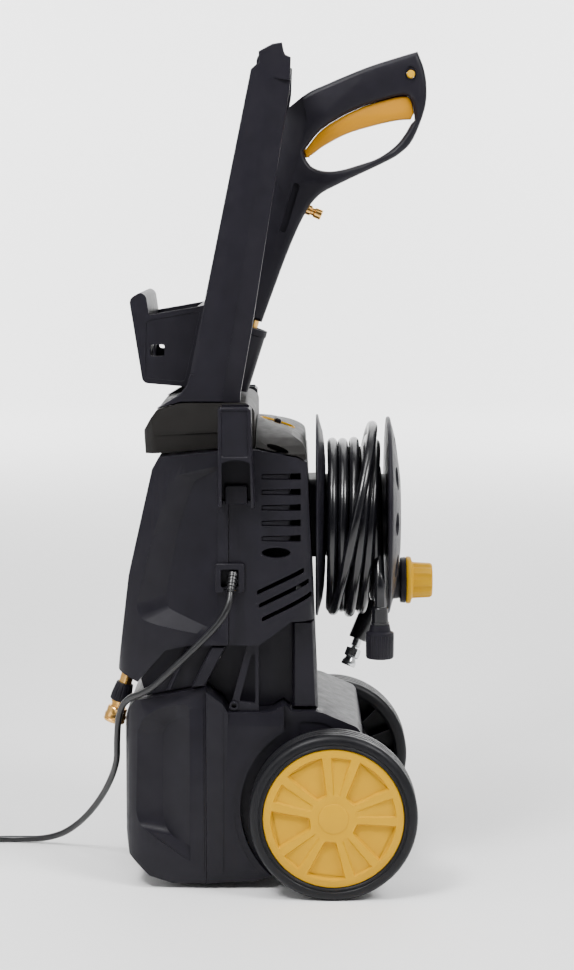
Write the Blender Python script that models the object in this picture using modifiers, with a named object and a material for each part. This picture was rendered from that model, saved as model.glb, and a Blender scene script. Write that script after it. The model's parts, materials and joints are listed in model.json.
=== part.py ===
"""Upright electric pressure washer with a gun, a hose reel and two wheels.

Metres, +Z up, standing on z = 0. -X is the front (water inlet, basket), +X the rear (reel, wheels),
-Y the left side. The origin is on the floor under the middle of the machine.
"""

import math

import bmesh
import bpy
from mathutils import Matrix, Vector

# ---- Overall sizes ----
BODY_HALF = 0.125  # half width of the housings
NOSE_HALF = 0.085  # half width of the flat part of their front
LOWER_FRONT = -0.151  # front face of the lower cover
UPPER_FRONT = -0.158  # foremost point of the upper front cover
LOWER_SEAM = -0.064  # where the lower front cover meets the base
UPPER_SEAM = -0.040  # where the upper front cover meets the rear cover
REAR_TOP = 0.042  # rear face of the rear cover, at its top
REAR_BOTTOM = 0.0500  # and at its bottom
HANDLE_TOP = 0.886
WALL = 0.003  # moulded walls
GAP = 0.0004  # between pieces that touch
RUNNING = 0.0003  # radial clearance of a turning or sliding fit

# ---- Wheels and axle ----
WHEEL_RADIUS = 0.088
WHEEL_INNER = 0.122  # |y| of the wheel's inner face
WHEEL_OUTER = 0.166
TREAD = 0.014  # thickness of the tyre band
CAP_DEPTH = 0.008
AXLE_X = 0.070
AXLE_RADIUS = 0.006
ARCH_CLEARANCE = 0.010
FENDER_HALF = 0.112  # half width of the base between the wheels

# ---- Heights ----
FOOT_HEIGHT = 0.006
BASE_TOP = 0.191
SHOULDER = 0.217  # top of the lower front cover at the seam
NECK_TOP = 0.2615
COVER_BOTTOM = 0.263  # bottom of the upper covers
HOOD_BOTTOM = 0.4695
HOOD_TOP = 0.5155

# ---- Handle ----
ARM_INNER = 0.078  # |y| of an arm's inner face
ARM_OUTER = 0.104
GRIP_CENTRE = (0.005, HANDLE_TOP - 0.019)
GRIP_RADII = (0.016, 0.0145)
HOOD_HALF = 0.112

# ---- Basket on the front of the handle ----
BASKET_LIP = 0.630
BASKET_HALF = ARM_INNER - 0.0005

# ---- Hose reel ----
REEL_Z = 0.385
REEL_PLANE = 0.0515  # nearest point of the inner flange to the housing
INNER_FLANGE_RADIUS = 0.110
OUTER_FLANGE_RADIUS = 0.1075
FLANGE_DISH = 0.0075
FLANGE = 0.003
DRUM_START = 0.0624
DRUM_END = 0.1276
DRUM_RADIUS = 0.045
REEL_AXLE_RADIUS = 0.008
CRANK_OFFSET = 0.072
CRANK_X = 0.1440
KNOB_RADIUS = 0.0255
KNOB_GRIP = 0.0190
KNOB_LENGTH = 0.0286

# ---- High pressure hose ----
HOSE_RADIUS = 0.0055
COIL_DROP = 0.007  # the loose winding hangs this far below the drum's axis
COIL_INNER = DRUM_RADIUS + COIL_DROP + 0.001
COIL_OUTER = 0.097

# ---- Gun ----
GUN_HALF = 0.016
TRIGGER_HALF = 0.010
GUN_AXIS_POINT = Vector((0.023, 0.0, 0.718))
GUN_AXIS = Vector((0.300, 0.0, 0.954)).normalized()
BARREL_RADIUS = 0.0055
VALVE_RADIUS = 0.0090
HOLSTER_RADIUS = 0.0172
TRIGGER_PIVOT = Vector((0.0300, 0.0, 0.7745))
TRIGGER_TRAVEL = math.radians(8)
LUG_RADIUS = 0.0060
LUG_HALF = 0.0065
PIN_RADIUS = 0.0020
PIN_HALF = GUN_HALF - 0.0050
BUTTON_CENTRE = Vector((0.152, 0.0, 0.8590))
BUTTON_RADIUS = 0.0043

# ---- Power switch ----
SWITCH_CENTRE = Vector((0.0100, 0.0, 0.4873))
SWITCH_NORMAL = Vector((0.296, 0.0, 0.955)).normalized()
SWITCH_RADIUS = 0.0200

# ---- Water inlet ----
INLET_END = Vector((-0.1690, -0.030, 0.1610))
INLET_AXIS = Vector((0.289, 0.0, 0.957)).normalized()
INLET_RADIUS = 0.0070
COUPLER_BORE = 0.0055

# ---- Motor and pump ----
MOTOR_X = -0.068
MOTOR_RADIUS = 0.043
MOTOR_BOTTOM = 0.330
MOTOR_TOP = 0.440
SHAFT_RADIUS = 0.006
PUMP_X = -0.088
PUMP_RADIUS = 0.027
PUMP_BOTTOM = 0.232

# ---- Mains cord ----
CORD_RADIUS = 0.0035
RELIEF_START = Vector((-0.0347, -0.1240, 0.3390))
RELIEF_RADIUS = 0.0058
CORD_ROUTE = [
    (-0.0372, -0.1350, 0.3205),
    (-0.0385, -0.1405, 0.3112),
    (-0.0430, -0.1440, 0.3000),
    (-0.0520, -0.1450, 0.2870),
    (-0.0645, -0.1445, 0.2735),
    (-0.0790, -0.1425, 0.2590),
    (-0.0945, -0.1385, 0.2435),
    (-0.1090, -0.1325, 0.2290),
    (-0.1220, -0.1240, 0.2165),
    (-0.1345, -0.1155, 0.2090),
    (-0.1450, -0.1060, 0.2030),
    (-0.1540, -0.0965, 0.1920),
    (-0.1590, -0.0880, 0.1740),
    (-0.1615, -0.0760, 0.1500),
    (-0.1640, -0.0590, 0.1230),
    (-0.1740, -0.0350, 0.0940),
    (-0.1900, -0.0070, 0.0640),
    (-0.2100, 0.0200, 0.0370),
    (-0.2330, 0.0420, 0.0165),
    (-0.2570, 0.0550, 0.0065),
    (-0.2820, 0.0610, 0.0040),
    (-0.3080, 0.0610, 0.0038),
    (-0.3340, 0.0530, 0.0038),
    (-0.3540, 0.0380, 0.0038),
    (-0.3730, 0.0290, 0.0038),
]
CORD_COIL = Vector((-0.3900, 0.0940, 0.0))
CORD_COIL_INNER = 0.0335
CORD_COIL_OUTER = 0.0612
CORD_COIL_HEIGHT = 0.0282
PLUG_AXIS = Vector((-0.20, 0.98, 0.0)).normalized()
PLUG_RADIUS = 0.0140
PLUG_LENGTH = 0.042
PLUG_START = CORD_COIL + Vector((-CORD_COIL_OUTER - 0.0055, 0.0, PLUG_RADIUS + 0.0004))


# ---- Scene, materials and placing ----
def clear_scene():
    for obj in list(bpy.data.objects):
        bpy.data.objects.remove(obj, do_unlink=True)


def new_collection(name):
    made = bpy.data.collections.new(name)
    bpy.context.scene.collection.children.link(made)
    return made


def new_material(name, color, roughness, metallic=0.0):
    made = bpy.data.materials.new(name)
    made.use_nodes = True
    shader = made.node_tree.nodes["Principled BSDF"]
    shader.inputs["Base Color"].default_value = (*color, 1.0)
    shader.inputs["Roughness"].default_value = roughness
    shader.inputs["Metallic"].default_value = metallic
    return made


clear_scene()
PARTS = new_collection("pressure_washer")
CUTTERS = new_collection("cutters")
BLACK = new_material("black_plastic", (0.022, 0.022, 0.027), 0.5)
HOOD_BLACK = new_material("hood_plastic", (0.05, 0.05, 0.055), 0.4)
YELLOW = new_material("yellow_plastic", (0.86, 0.62, 0.01), 0.42)
TRIGGER_YELLOW = new_material("trigger_plastic", (0.72, 0.40, 0.01), 0.4)
RUBBER = new_material("tyre", (0.018, 0.018, 0.020), 0.7)
HOSE_BLACK = new_material("hose_rubber", (0.015, 0.015, 0.018), 0.35)
CORD_BLACK = new_material("cord_pvc", (0.016, 0.016, 0.018), 0.45)
BRASS = new_material("brass", (0.80, 0.45, 0.14), 0.25, 1.0)
STEEL = new_material("steel", (0.62, 0.62, 0.62), 0.3, 1.0)
ALUMINIUM = new_material("aluminium", (0.7, 0.7, 0.72), 0.45, 1.0)


def pivot(name, location, parent=None):
    """An empty on a joint's axis, which the pieces that move there hang on."""
    made = bpy.data.objects.new(name, None)
    made.location = location
    PARTS.objects.link(made)
    bpy.context.view_layer.update()
    if parent:
        made.parent = parent
        made.matrix_parent_inverse = parent.matrix_world.inverted()
    return made


def hang(parent, *pieces):
    bpy.context.view_layer.update()
    for piece in pieces:
        piece.parent = parent
        piece.matrix_parent_inverse = parent.matrix_world.inverted()


def finished(obj, name, material):
    """Names a piece and gives it its material and its shading."""
    obj.name = name
    obj.data.name = name
    obj.data.materials.clear()
    obj.data.materials.append(material)
    obj.data.shade_smooth()
    obj.data.set_sharp_from_angle(angle=math.radians(32))
    return obj


def as_cutter(obj):
    for holder in list(obj.users_collection):
        holder.objects.unlink(obj)
    CUTTERS.objects.link(obj)
    obj.hide_render = True
    obj.display_type = "WIRE"
    return obj


def combine(obj, other, operation):
    """Cuts, joins or intersects a piece with a helper, which stays as its hidden cutter."""
    modifier = obj.modifiers.new(operation.lower(), "BOOLEAN")
    modifier.operation = operation
    modifier.solver = "EXACT"
    modifier.object = as_cutter(other)
    return obj


def cut(obj, *others):
    for other in others:
        combine(obj, other, "DIFFERENCE")
    return obj


def joined(obj, *others):
    for other in others:
        combine(obj, other, "UNION")
    return obj


# ---- Shapes ----
def mesh_object(name, mesh):
    made = bpy.data.objects.new(name, mesh)
    PARTS.objects.link(made)
    return made


def curve_to_mesh(obj):
    """Turns a curve into a closed mesh object in world coordinates."""
    bpy.context.view_layer.update()
    graph = bpy.context.evaluated_depsgraph_get()
    mesh = bpy.data.meshes.new_from_object(obj.evaluated_get(graph))
    mesh.transform(obj.matrix_world)
    shape = bmesh.new()
    shape.from_mesh(mesh)
    bmesh.ops.remove_doubles(shape, verts=shape.verts, dist=1e-6)
    bmesh.ops.recalc_face_normals(shape, faces=shape.faces)
    shape.to_mesh(mesh)
    shape.free()
    made = mesh_object(obj.name, mesh)
    bpy.data.objects.remove(obj, do_unlink=True)
    return made


# Where a flat outline lies: its first coordinate, its second, and the way it is extruded.
PLANES = {
    "side": Matrix(((1, 0, 0, 0), (0, 0, 1, 0), (0, 1, 0, 0), (0, 0, 0, 1))),
    "plan": Matrix.Identity(4),
    "front": Matrix(((0, 0, 1, 0), (1, 0, 0, 0), (0, 1, 0, 0), (0, 0, 0, 1))),
}


def prism(name, outline, plane, low, high, hole=None):
    """A flat outline, with an optional hole, extruded from low to high across its plane."""
    curve = bpy.data.curves.new(name, "CURVE")
    curve.dimensions = "2D"
    curve.fill_mode = "BOTH"
    curve.extrude = (high - low) / 2
    for points in [outline, hole] if hole else [outline]:
        spline = curve.splines.new("POLY")
        spline.points.add(len(points) - 1)
        for target, (u, v) in zip(spline.points, points):
            target.co = (u, v, 0, 1)
        spline.use_cyclic_u = True
    obj = bpy.data.objects.new(name, curve)
    PARTS.objects.link(obj)
    obj.matrix_world = PLANES[plane] @ Matrix.Translation((0, 0, (low + high) / 2))
    return curve_to_mesh(obj)


def box(name, low, high):
    shape = bmesh.new()
    bmesh.ops.create_cube(shape, size=1)
    size = [b - a for a, b in zip(low, high)]
    middle = [(a + b) / 2 for a, b in zip(low, high)]
    shape.transform(Matrix.Translation(middle) @ Matrix.Diagonal((*size, 1)))
    mesh = bpy.data.meshes.new(name)
    shape.to_mesh(mesh)
    shape.free()
    return mesh_object(name, mesh)


def rod(name, start, end, radius, end_radius=None, segments=24):
    """A cylinder, or a cone, between two points."""
    start, end = Vector(start), Vector(end)
    shape = bmesh.new()
    bmesh.ops.create_cone(
        shape,
        cap_ends=True,
        segments=segments,
        radius1=radius,
        radius2=radius if end_radius is None else end_radius,
        depth=(end - start).length,
    )
    turn = (end - start).to_track_quat("Z", "Y").to_matrix().to_4x4()
    shape.transform(Matrix.Translation((start + end) / 2) @ turn)
    mesh = bpy.data.meshes.new(name)
    shape.to_mesh(mesh)
    shape.free()
    return mesh_object(name, mesh)


def turned(name, profile, origin, axis, steps=32):
    """A closed profile of (radius, distance along the axis) turned about the axis through origin."""
    shape = bmesh.new()
    corners = [shape.verts.new((r, 0, d)) for r, d in profile]
    for a, b in zip(corners, corners[1:] + corners[:1]):
        shape.edges.new((a, b))
    mesh = bpy.data.meshes.new(name)
    shape.to_mesh(mesh)
    shape.free()
    obj = mesh_object(name, mesh)
    screw = obj.modifiers.new("turn", "SCREW")
    screw.axis = "Z"
    screw.angle = math.tau
    screw.steps = steps
    screw.render_steps = steps
    screw.use_merge_vertices = True
    screw.merge_threshold = 0.00005
    area = sum(a[0] * b[1] - b[0] * a[1] for a, b in zip(profile, profile[1:] + profile[:1]))
    screw.use_normal_flip = area > 0
    turn = Vector(axis).to_track_quat("Z", "Y").to_matrix().to_4x4()
    obj.matrix_world = Matrix.Translation(Vector(origin)) @ turn
    return obj


def tube(name, points, radius, sides=2):
    """A cord or hose along the points."""
    curve = bpy.data.curves.new(name, "CURVE")
    curve.dimensions = "3D"
    curve.bevel_depth = radius
    curve.bevel_resolution = sides
    curve.use_fill_caps = True
    spline = curve.splines.new("POLY")
    spline.points.add(len(points) - 1)
    for target, point in zip(spline.points, points):
        target.co = (*point, 1)
    obj = bpy.data.objects.new(name, curve)
    PARTS.objects.link(obj)
    return curve_to_mesh(obj)


def smooth_route(points, spacing):
    """Points a fixed distance apart on a smooth curve through the given points."""
    given = [Vector(p) for p in points]
    ends = [given[0] * 2 - given[1]] + given + [given[-1] * 2 - given[-2]]
    fine = []
    for before, a, b, after in zip(ends, ends[1:], ends[2:], ends[3:]):
        for i in range(24):
            t = i / 24
            fine.append(
                0.5
                * (
                    2 * a
                    + (b - before) * t
                    + (2 * before - 5 * a + 4 * b - after) * t**2
                    + (3 * a - before - 3 * b + after) * t**3
                )
            )
    fine.append(given[-1])
    total = sum((b - a).length for a, b in zip(fine, fine[1:]))
    count = max(2, round(total / spacing))
    route, walked, target = [fine[0]], 0.0, total / count
    for a, b in zip(fine, fine[1:]):
        step = (b - a).length
        while walked + step >= target and len(route) < count:
            route.append(a.lerp(b, (target - walked) / step))
            target += total / count
        walked += step
    return route + [fine[-1]]


def arc(centre, radius, start, end, count):
    """Points on an arc, its angles in degrees."""
    angles = [math.radians(start + (end - start) * i / count) for i in range(count + 1)]
    return [(centre[0] + radius * math.cos(a), centre[1] + radius * math.sin(a)) for a in angles]


def inset(points, amount):
    """The outline moved inwards by the amount, with mitred corners."""
    area = sum(a[0] * b[1] - b[0] * a[1] for a, b in zip(points, points[1:] + points[:1]))
    side = 1 if area > 0 else -1
    moved = []
    for before, here, after in zip(points[-1:] + points[:-1], points, points[1:] + points[:1]):
        first = (Vector(here) - Vector(before)).normalized()
        second = (Vector(after) - Vector(here)).normalized()
        first = Vector((-first.y, first.x)) * side
        second = Vector((-second.y, second.x)) * side
        corner = (first + second) / (1 + first.dot(second))
        moved.append(tuple(Vector(here) + corner * amount))
    return moved


def plan_outline(open_x, shoulder, nose, half, nose_half, exponent=2.4, count=7):
    """A plan that is straight from open_x to the shoulder and rounds off to the flat nose."""
    corner = []
    for i in range(count + 1):
        angle = math.pi / 2 * i / count
        across = math.cos(angle) ** (2 / exponent) if i < count else 0.0
        along = math.sin(angle) ** (2 / exponent)
        corner.append((shoulder + (nose - shoulder) * along, nose_half + (half - nose_half) * across))
    near = [(x, -y) for x, y in corner]
    return [(open_x, -half)] + near + corner[::-1] + [(open_x, half)]


def shell(name, side, plan, open_x, low, high):
    """A moulded shell, open at open_x: a side outline and a plan outline, less the same inside its walls."""
    beyond = math.copysign(0.02, open_x - plan[len(plan) // 2][0])

    def opened(points):
        return [(x + beyond, z) if abs(x - open_x) < 1.5 * WALL else (x, z) for x, z in inset(points, WALL)]

    outer = prism(name, side, "side", -2 * BODY_HALF, 2 * BODY_HALF)
    combine(outer, prism(name + "_plan", plan, "plan", low, high), "INTERSECT")
    inner = prism(name + "_inside", opened(side), "side", -2 * BODY_HALF, 2 * BODY_HALF)
    combine(inner, prism(name + "_inside_plan", opened(plan), "plan", low, high), "INTERSECT")
    return cut(outer, inner)


# ---- Housings ----
def pump_well():
    """The way through from the neck to the upper housing that the pump fills."""
    half = PUMP_RADIUS + 0.006
    return box("pump_well", (PUMP_X - half, -half, PUMP_BOTTOM - 0.004), (PUMP_X + half, half, 0.300))


def lower_front_cover():
    side = [
        (LOWER_SEAM, FOOT_HEIGHT),
        (-0.100, FOOT_HEIGHT),
        (-0.124, 0.014),
        (-0.147, 0.034),
        (LOWER_FRONT, 0.060),
        (LOWER_FRONT, 0.178),
        (-0.147, 0.192),
        (-0.139, 0.2025),
        (LOWER_SEAM, SHOULDER),
    ]
    plan = plan_outline(LOWER_SEAM, -0.095, LOWER_FRONT, BODY_HALF, NOSE_HALF)
    return finished(shell("lower_front_cover", side, plan, LOWER_SEAM, 0.0, 0.3), "lower_front_cover", BLACK)


def base_housing():
    seam = LOWER_SEAM + GAP
    side = [
        (seam, FOOT_HEIGHT),
        (-0.012, 0.009),
        (0.030, 0.022),
        (0.092, 0.036),
        (0.104, 0.055),
        (0.104, 0.140),
        (0.098, 0.172),
        (0.056, BASE_TOP - 0.001),
        (0.026, BASE_TOP - 0.001),
        (0.018, BASE_TOP + 0.008),
        (0.005, BASE_TOP),
        (-0.041, BASE_TOP),
        (-0.047, 0.201),
        (seam, 0.2135),
    ]
    body = prism("base_housing", side, "side", -BODY_HALF, BODY_HALF)
    inner = [(x - 0.02, z) if abs(x - seam) < 1.5 * WALL else (x, z) for x, z in inset(side, WALL)]
    inside_half = FENDER_HALF - WALL
    cut(body, prism("base_inside", inner, "side", -inside_half, inside_half))
    radius = WHEEL_RADIUS + ARCH_CLEARANCE
    for sign in (-1, 1):
        low, high = sorted((sign * FENDER_HALF, sign * (BODY_HALF + 0.02)))
        arch = rod("arch", (AXLE_X, low, WHEEL_RADIUS), (AXLE_X, high, WHEEL_RADIUS), radius, segments=48)
        rear = box("fender_side", (0.018, low, 0.0), (0.3, high, 0.3))
        cut(body, arch, rear)
    reach = BODY_HALF + 0.01
    cut(
        body,
        rod(
            "axle_hole",
            (AXLE_X, -reach, WHEEL_RADIUS),
            (AXLE_X, reach, WHEEL_RADIUS),
            AXLE_RADIUS + RUNNING,
        ),
    )
    return finished(body, "base_housing", BLACK)


def neck_cover():
    """The recessed waist between the lower and the upper front covers."""
    half = 0.106
    side = [
        (-0.128, 0.2060),
        (LOWER_SEAM - GAP, 0.2185),
        (UPPER_SEAM - 0.002, NECK_TOP),
        (-0.078, NECK_TOP),
        (-0.1065, NECK_TOP - 0.005),
        (-0.133, 0.2235),
    ]
    body = prism("neck_cover", side, "side", -half, half)
    inside = prism("neck_inside", inset(side, WALL), "side", WALL - half, half - WALL)
    cut(body, inside, pump_well())
    return finished(body, "neck_cover", BLACK)


def rear_face(z):
    """x of the rear cover's rear face at a height."""
    share = (z - 0.288) / (0.455 - 0.288)
    return REAR_BOTTOM + (REAR_TOP - REAR_BOTTOM) * share


def upper_front_cover():
    side = [
        (UPPER_SEAM, COVER_BOTTOM),
        (UPPER_SEAM, HOOD_BOTTOM - 0.001),
        (-0.052, HOOD_BOTTOM - 0.003),
        (-0.112, 0.4605),
        (-0.119, 0.448),
        (-0.145, 0.335),
        (UPPER_FRONT, 0.232),
        (-0.136, 0.2225),
        (-0.106, 0.2575),
        (-0.078, COVER_BOTTOM),
    ]
    plan = plan_outline(UPPER_SEAM, -0.085, UPPER_FRONT, BODY_HALF, NOSE_HALF)
    body = shell("upper_front_cover", side, plan, UPPER_SEAM, 0.1, 0.6)
    cut(body, pump_well(), gland_hole("front_gland_hole"), inlet_hole())
    return finished(body, "upper_front_cover", BLACK)


LOUVRES = 5
LOUVRE_TOP = 0.4410
LOUVRE_PITCH = 0.0162
LOUVRE_HEIGHT = 0.0055


def rear_cover():
    seam = UPPER_SEAM + GAP
    side = [
        (seam, COVER_BOTTOM),
        (-0.008, COVER_BOTTOM),
        (0.026, 0.288),
        (rear_face(0.288), 0.288),
        (rear_face(0.455), 0.455),
        (0.033, 0.4600),
        (-0.010, HOOD_BOTTOM - 0.001),
        (seam, HOOD_BOTTOM - 0.001),
    ]
    plan = plan_outline(seam, 0.022, REAR_BOTTOM, BODY_HALF, 0.098, exponent=2.0, count=4)
    body = shell("rear_cover", side, plan, seam, 0.1, 0.6)
    for sign in (-1, 1):
        low, high = sorted((sign * (BODY_HALF - 0.02), sign * (BODY_HALF + 0.01)))
        for i in range(LOUVRES):
            z = LOUVRE_TOP - i * LOUVRE_PITCH
            cut(body, box("louvre", (-0.005, low, z - LOUVRE_HEIGHT / 2), (0.024, high, z + LOUVRE_HEIGHT / 2)))
        for i in range(3):
            start = Vector((-0.009 + 0.003 * i, 0.3170 - 0.0135 * i))
            end = start + Vector((0.034, 0.0155))
            edge = [start, end, end + Vector((0, 0.0055)), start + Vector((0, 0.0055))]
            cut(body, prism("slot", [tuple(p) for p in edge], "side", low, high))
    cut(body, gland_hole("rear_gland_hole"), box("lead_hole", (0.030, -0.004, 0.30), (0.07, 0.004, 0.31)))
    return finished(body, "rear_cover", BLACK)


def rear_tower():
    """The pillar behind the waist, which carries the reel side of the rear cover."""
    wide = 0.104
    narrow = 0.088
    recess = [
        (-0.036, BASE_TOP + GAP),
        (0.004, BASE_TOP + GAP),
        (0.017, BASE_TOP + 0.0088),
        (0.0275, BASE_TOP + GAP),
        (0.0275, 0.284),
        (-0.006, NECK_TOP),
        (-0.036, NECK_TOP),
    ]
    pillar = [
        (0.0265, BASE_TOP + GAP),
        (0.0540, BASE_TOP + GAP),
        (0.0500, 0.2865),
        (0.0265, 0.2865),
    ]
    body = prism("rear_tower", recess, "side", -narrow, narrow)
    joined(body, prism("pillar", pillar, "side", -wide, wide))
    cavity = [(-0.033, BASE_TOP - 0.01), (0.050, BASE_TOP - 0.01), (0.0465, 0.2835), (0.024, 0.279), (-0.0065, 0.2585)]
    cut(body, prism("tower_inside", cavity + [(-0.033, 0.2585)], "side", WALL - narrow, narrow - WALL))
    return finished(body, "rear_tower", BLACK)


def side_brace(name, sign):
    """The triangular screw ear that ties the base to the upper covers."""
    low, high = sorted((sign * 0.1120, sign * 0.1160))
    outer = [
        (-0.0395, BASE_TOP + GAP),
        (-0.0085, BASE_TOP + GAP),
        (-0.0085, COVER_BOTTOM - GAP),
        (-0.0205, COVER_BOTTOM - GAP),
    ]
    hole = [(-0.0290, 0.2030), (-0.0125, 0.2010), (-0.0125, 0.2520), (-0.0165, 0.2520)]
    return finished(prism(name, outer, "side", low, high, hole), name, BLACK)


def foot(name, sign):
    low, high = sorted((sign * 0.052, sign * 0.098))
    body = box(name, (-0.098, low, 0.0), (-0.066, high, FOOT_HEIGHT - GAP))
    return finished(body, name, RUBBER)


def top_hood():
    """The smooth cap over the front of the upper housing, which the handle stands on."""
    side = [
        (-0.127, 0.4625),
        (-0.050, HOOD_BOTTOM),
        (-0.0125, HOOD_BOTTOM),
        (-0.0125, 0.5080),
        (-0.0200, HOOD_TOP),
        (-0.0900, HOOD_TOP),
        (-0.1150, 0.5080),
        (-0.1210, 0.5000),
        (-0.1290, 0.4860),
    ]
    body = prism("top_hood", side, "side", -HOOD_HALF, HOOD_HALF)
    inside = [(x, z - 0.01 if z < 0.475 else z) for x, z in inset(side, WALL)]
    cut(body, prism("hood_inside", inside, "side", WALL - HOOD_HALF, HOOD_HALF - WALL))
    return finished(body, "top_hood", HOOD_BLACK)


def top_rear_cover():
    """The crowned cheek behind the hood, with the switch in its sloped top."""
    side = [
        (-0.0115, HOOD_BOTTOM + 0.0012),
        (0.0330, 0.4616),
        (0.0415, 0.4565),
        (0.0395, 0.4735),
        (0.0240, 0.4830),
        (-0.0115, 0.4940),
    ]
    crown = [(-0.1235, 0.44), (-0.1235, 0.464), (-0.1000, 0.4790), (-0.0550, 0.4900), (0.0, 0.4945)]
    crown += [(-y, z) for y, z in crown[-2::-1]]
    body = prism("top_rear_cover", side, "side", -BODY_HALF, BODY_HALF)
    combine(body, prism("crown", crown, "front", -0.1, 0.1), "INTERSECT")
    recess = SWITCH_CENTRE - SWITCH_NORMAL * 0.006
    hole = rod("switch_recess", recess, SWITCH_CENTRE + SWITCH_NORMAL * 0.02, SWITCH_RADIUS + RUNNING, segments=32)
    shaft = rod(
        "switch_shaft_hole",
        recess - SWITCH_NORMAL * 0.03,
        recess + SWITCH_NORMAL * 0.01,
        0.0040 + RUNNING,
        segments=16,
    )
    cut(body, hole, shaft)
    return finished(body, "top_rear_cover", HOOD_BLACK)


# ---- Handle, basket and holsters ----
def handle_arm(name, sign):
    low, high = sorted((sign * ARM_INNER, sign * ARM_OUTER))
    side = [
        (-0.0880, HOOD_TOP + GAP),
        (-0.0280, HOOD_TOP + GAP),
        (-0.0275, 0.526),
        (-0.0150, 0.596),
        (0.0050, 0.722),
        (0.0240, HANDLE_TOP - 0.044),
        (0.0250, HANDLE_TOP - 0.015),
        (0.0180, HANDLE_TOP - 0.010),
        (0.0160, HANDLE_TOP),
        (-0.0080, HANDLE_TOP - 0.009),
        (-0.0080, HANDLE_TOP - 0.020),
        (-0.0160, HANDLE_TOP - 0.027),
        (-0.0640, 0.622),
        (-0.0815, 0.533),
    ]
    return finished(prism(name, side, "side", low, high), name, BLACK)


def handle_grip():
    x, z = GRIP_CENTRE
    a, b = GRIP_RADII
    outline = [(x + a * u, z + b * w) for u, w in arc((0, 0), 1.0, 0, 345, 23)]
    half = ARM_INNER - GAP
    return finished(prism("handle_grip", outline, "side", -half, half), "handle_grip", BLACK)


def accessory_basket():
    outer = [
        (-0.1310, 0.5345),
        (-0.0800, 0.5300),
        (-0.0625, 0.6170),
        (-0.1240, 0.6060),
        (-0.1270, BASKET_LIP - 0.002),
        (-0.1330, BASKET_LIP),
        (-0.1450, BASKET_LIP - 0.007),
    ]
    body = prism("accessory_basket", outer, "side", -BASKET_HALF, BASKET_HALF)
    inside = [(-0.1278, 0.5380), (-0.0842, 0.5335), (-0.0665, 0.650), (-0.1218, 0.650)]
    cut(body, prism("basket_inside", inside, "side", WALL - BASKET_HALF, BASKET_HALF - WALL))
    cut(body, box("basket_slots", (-0.1230, -0.1, 0.5630), (-0.1080, 0.1, 0.5750)))
    return finished(body, "accessory_basket", BLACK)


def gun_axis_at(z):
    return GUN_AXIS_POINT + GUN_AXIS * ((z - GUN_AXIS_POINT.z) / GUN_AXIS.z)


def gun_holster():
    """A cup on the gun's axis, on a cross plate between the arms."""
    half = ARM_INNER - GAP
    body = box("gun_holster", (-0.0600, -half, 0.530), (-0.0530, half, 0.582))
    web = box("holster_web", (-0.0560, -0.007, 0.534), (-0.0350, 0.007, 0.578))
    joined(body, web, rod("holster_cup", gun_axis_at(0.524), gun_axis_at(0.590), HOLSTER_RADIUS, segments=28))
    bore = HOLSTER_RADIUS - WALL
    cut(body, rod("holster_bore", gun_axis_at(0.500), gun_axis_at(0.610), bore, segments=28))
    return finished(body, "gun_holster", BLACK)


HOLSTER_X = (-0.0490, -0.0150)
HOLSTER_Z = (0.4120, 0.5160)
HOLSTER_DEPTH = 0.034
HOLSTER_WINDOW = 0.462


def side_holster(name, sign):
    """A pocket for a lance on the side of the housing, open at the top and at the front of its lower half."""
    back = BODY_HALF + 0.002
    left, right = HOLSTER_X
    bottom, top = HOLSTER_Z

    def span(a, b):
        return sorted((sign * (back + a), sign * (back + b)))

    low, high = span(0, HOLSTER_DEPTH)
    body = box(name, (left, low, bottom), (right, high, top))
    low, high = span(WALL, HOLSTER_DEPTH - WALL)
    cut(body, box("holster_pocket", (left + WALL, low, bottom + 0.004), (right - WALL, high, top + 0.01)))
    low, high = span(WALL + 0.006, HOLSTER_DEPTH + 0.01)
    edge = 0.0045
    cut(body, box("holster_window", (left + edge, low, bottom - 0.01), (right - edge, high, HOLSTER_WINDOW)))
    return finished(body, name, BLACK)


# ---- Wheels ----
def wheel(name, sign):
    """Tyre band, web and hub in one moulding; distances run outwards from the wheel's inner face."""
    width = WHEEL_OUTER - WHEEL_INNER
    rim = WHEEL_RADIUS - TREAD
    hub = AXLE_RADIUS + 0.008
    round_off = 0.006
    web = width - CAP_DEPTH - 0.012
    profile = [
        (AXLE_RADIUS + RUNNING, 0.002),
        (hub, 0.002),
        (hub, web),
        (rim, web),
        (rim, 0.002),
        (rim + 0.003, 0.0),
        (WHEEL_RADIUS - round_off, 0.0),
        (WHEEL_RADIUS - 0.0018, 0.0025),
        (WHEEL_RADIUS, round_off),
        (WHEEL_RADIUS, width - round_off),
        (WHEEL_RADIUS - 0.0018, width - 0.0025),
        (WHEEL_RADIUS - round_off, width),
        (rim + 0.002, width),
        (rim, width - 0.002),
        (rim, web + WALL),
        (AXLE_RADIUS + RUNNING, web + WALL),
    ]
    body = turned(name, profile, (AXLE_X, sign * WHEEL_INNER, WHEEL_RADIUS), (0, sign, 0))
    return finished(body, name, RUBBER)


def wheel_cap(name, sign):
    radius = WHEEL_RADIUS - TREAD - GAP
    outer = WHEEL_OUTER - 0.0012
    profile = [
        (0.0, -CAP_DEPTH),
        (radius - 0.004, -CAP_DEPTH),
        (radius, -CAP_DEPTH + 0.002),
        (radius, -0.0012),
        (radius - 0.0015, 0.0),
        (0.018, 0.0),
        (0.0, 0.0008),
    ]
    body = turned(name, profile, (AXLE_X, sign * outer, WHEEL_RADIUS), (0, sign, 0))
    return finished(body, name, YELLOW)


def wheel_axle():
    reach = WHEEL_OUTER - CAP_DEPTH - 0.003
    body = rod("wheel_axle", (AXLE_X, -reach, WHEEL_RADIUS), (AXLE_X, reach, WHEEL_RADIUS), AXLE_RADIUS)
    return finished(body, "wheel_axle", STEEL)


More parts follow.
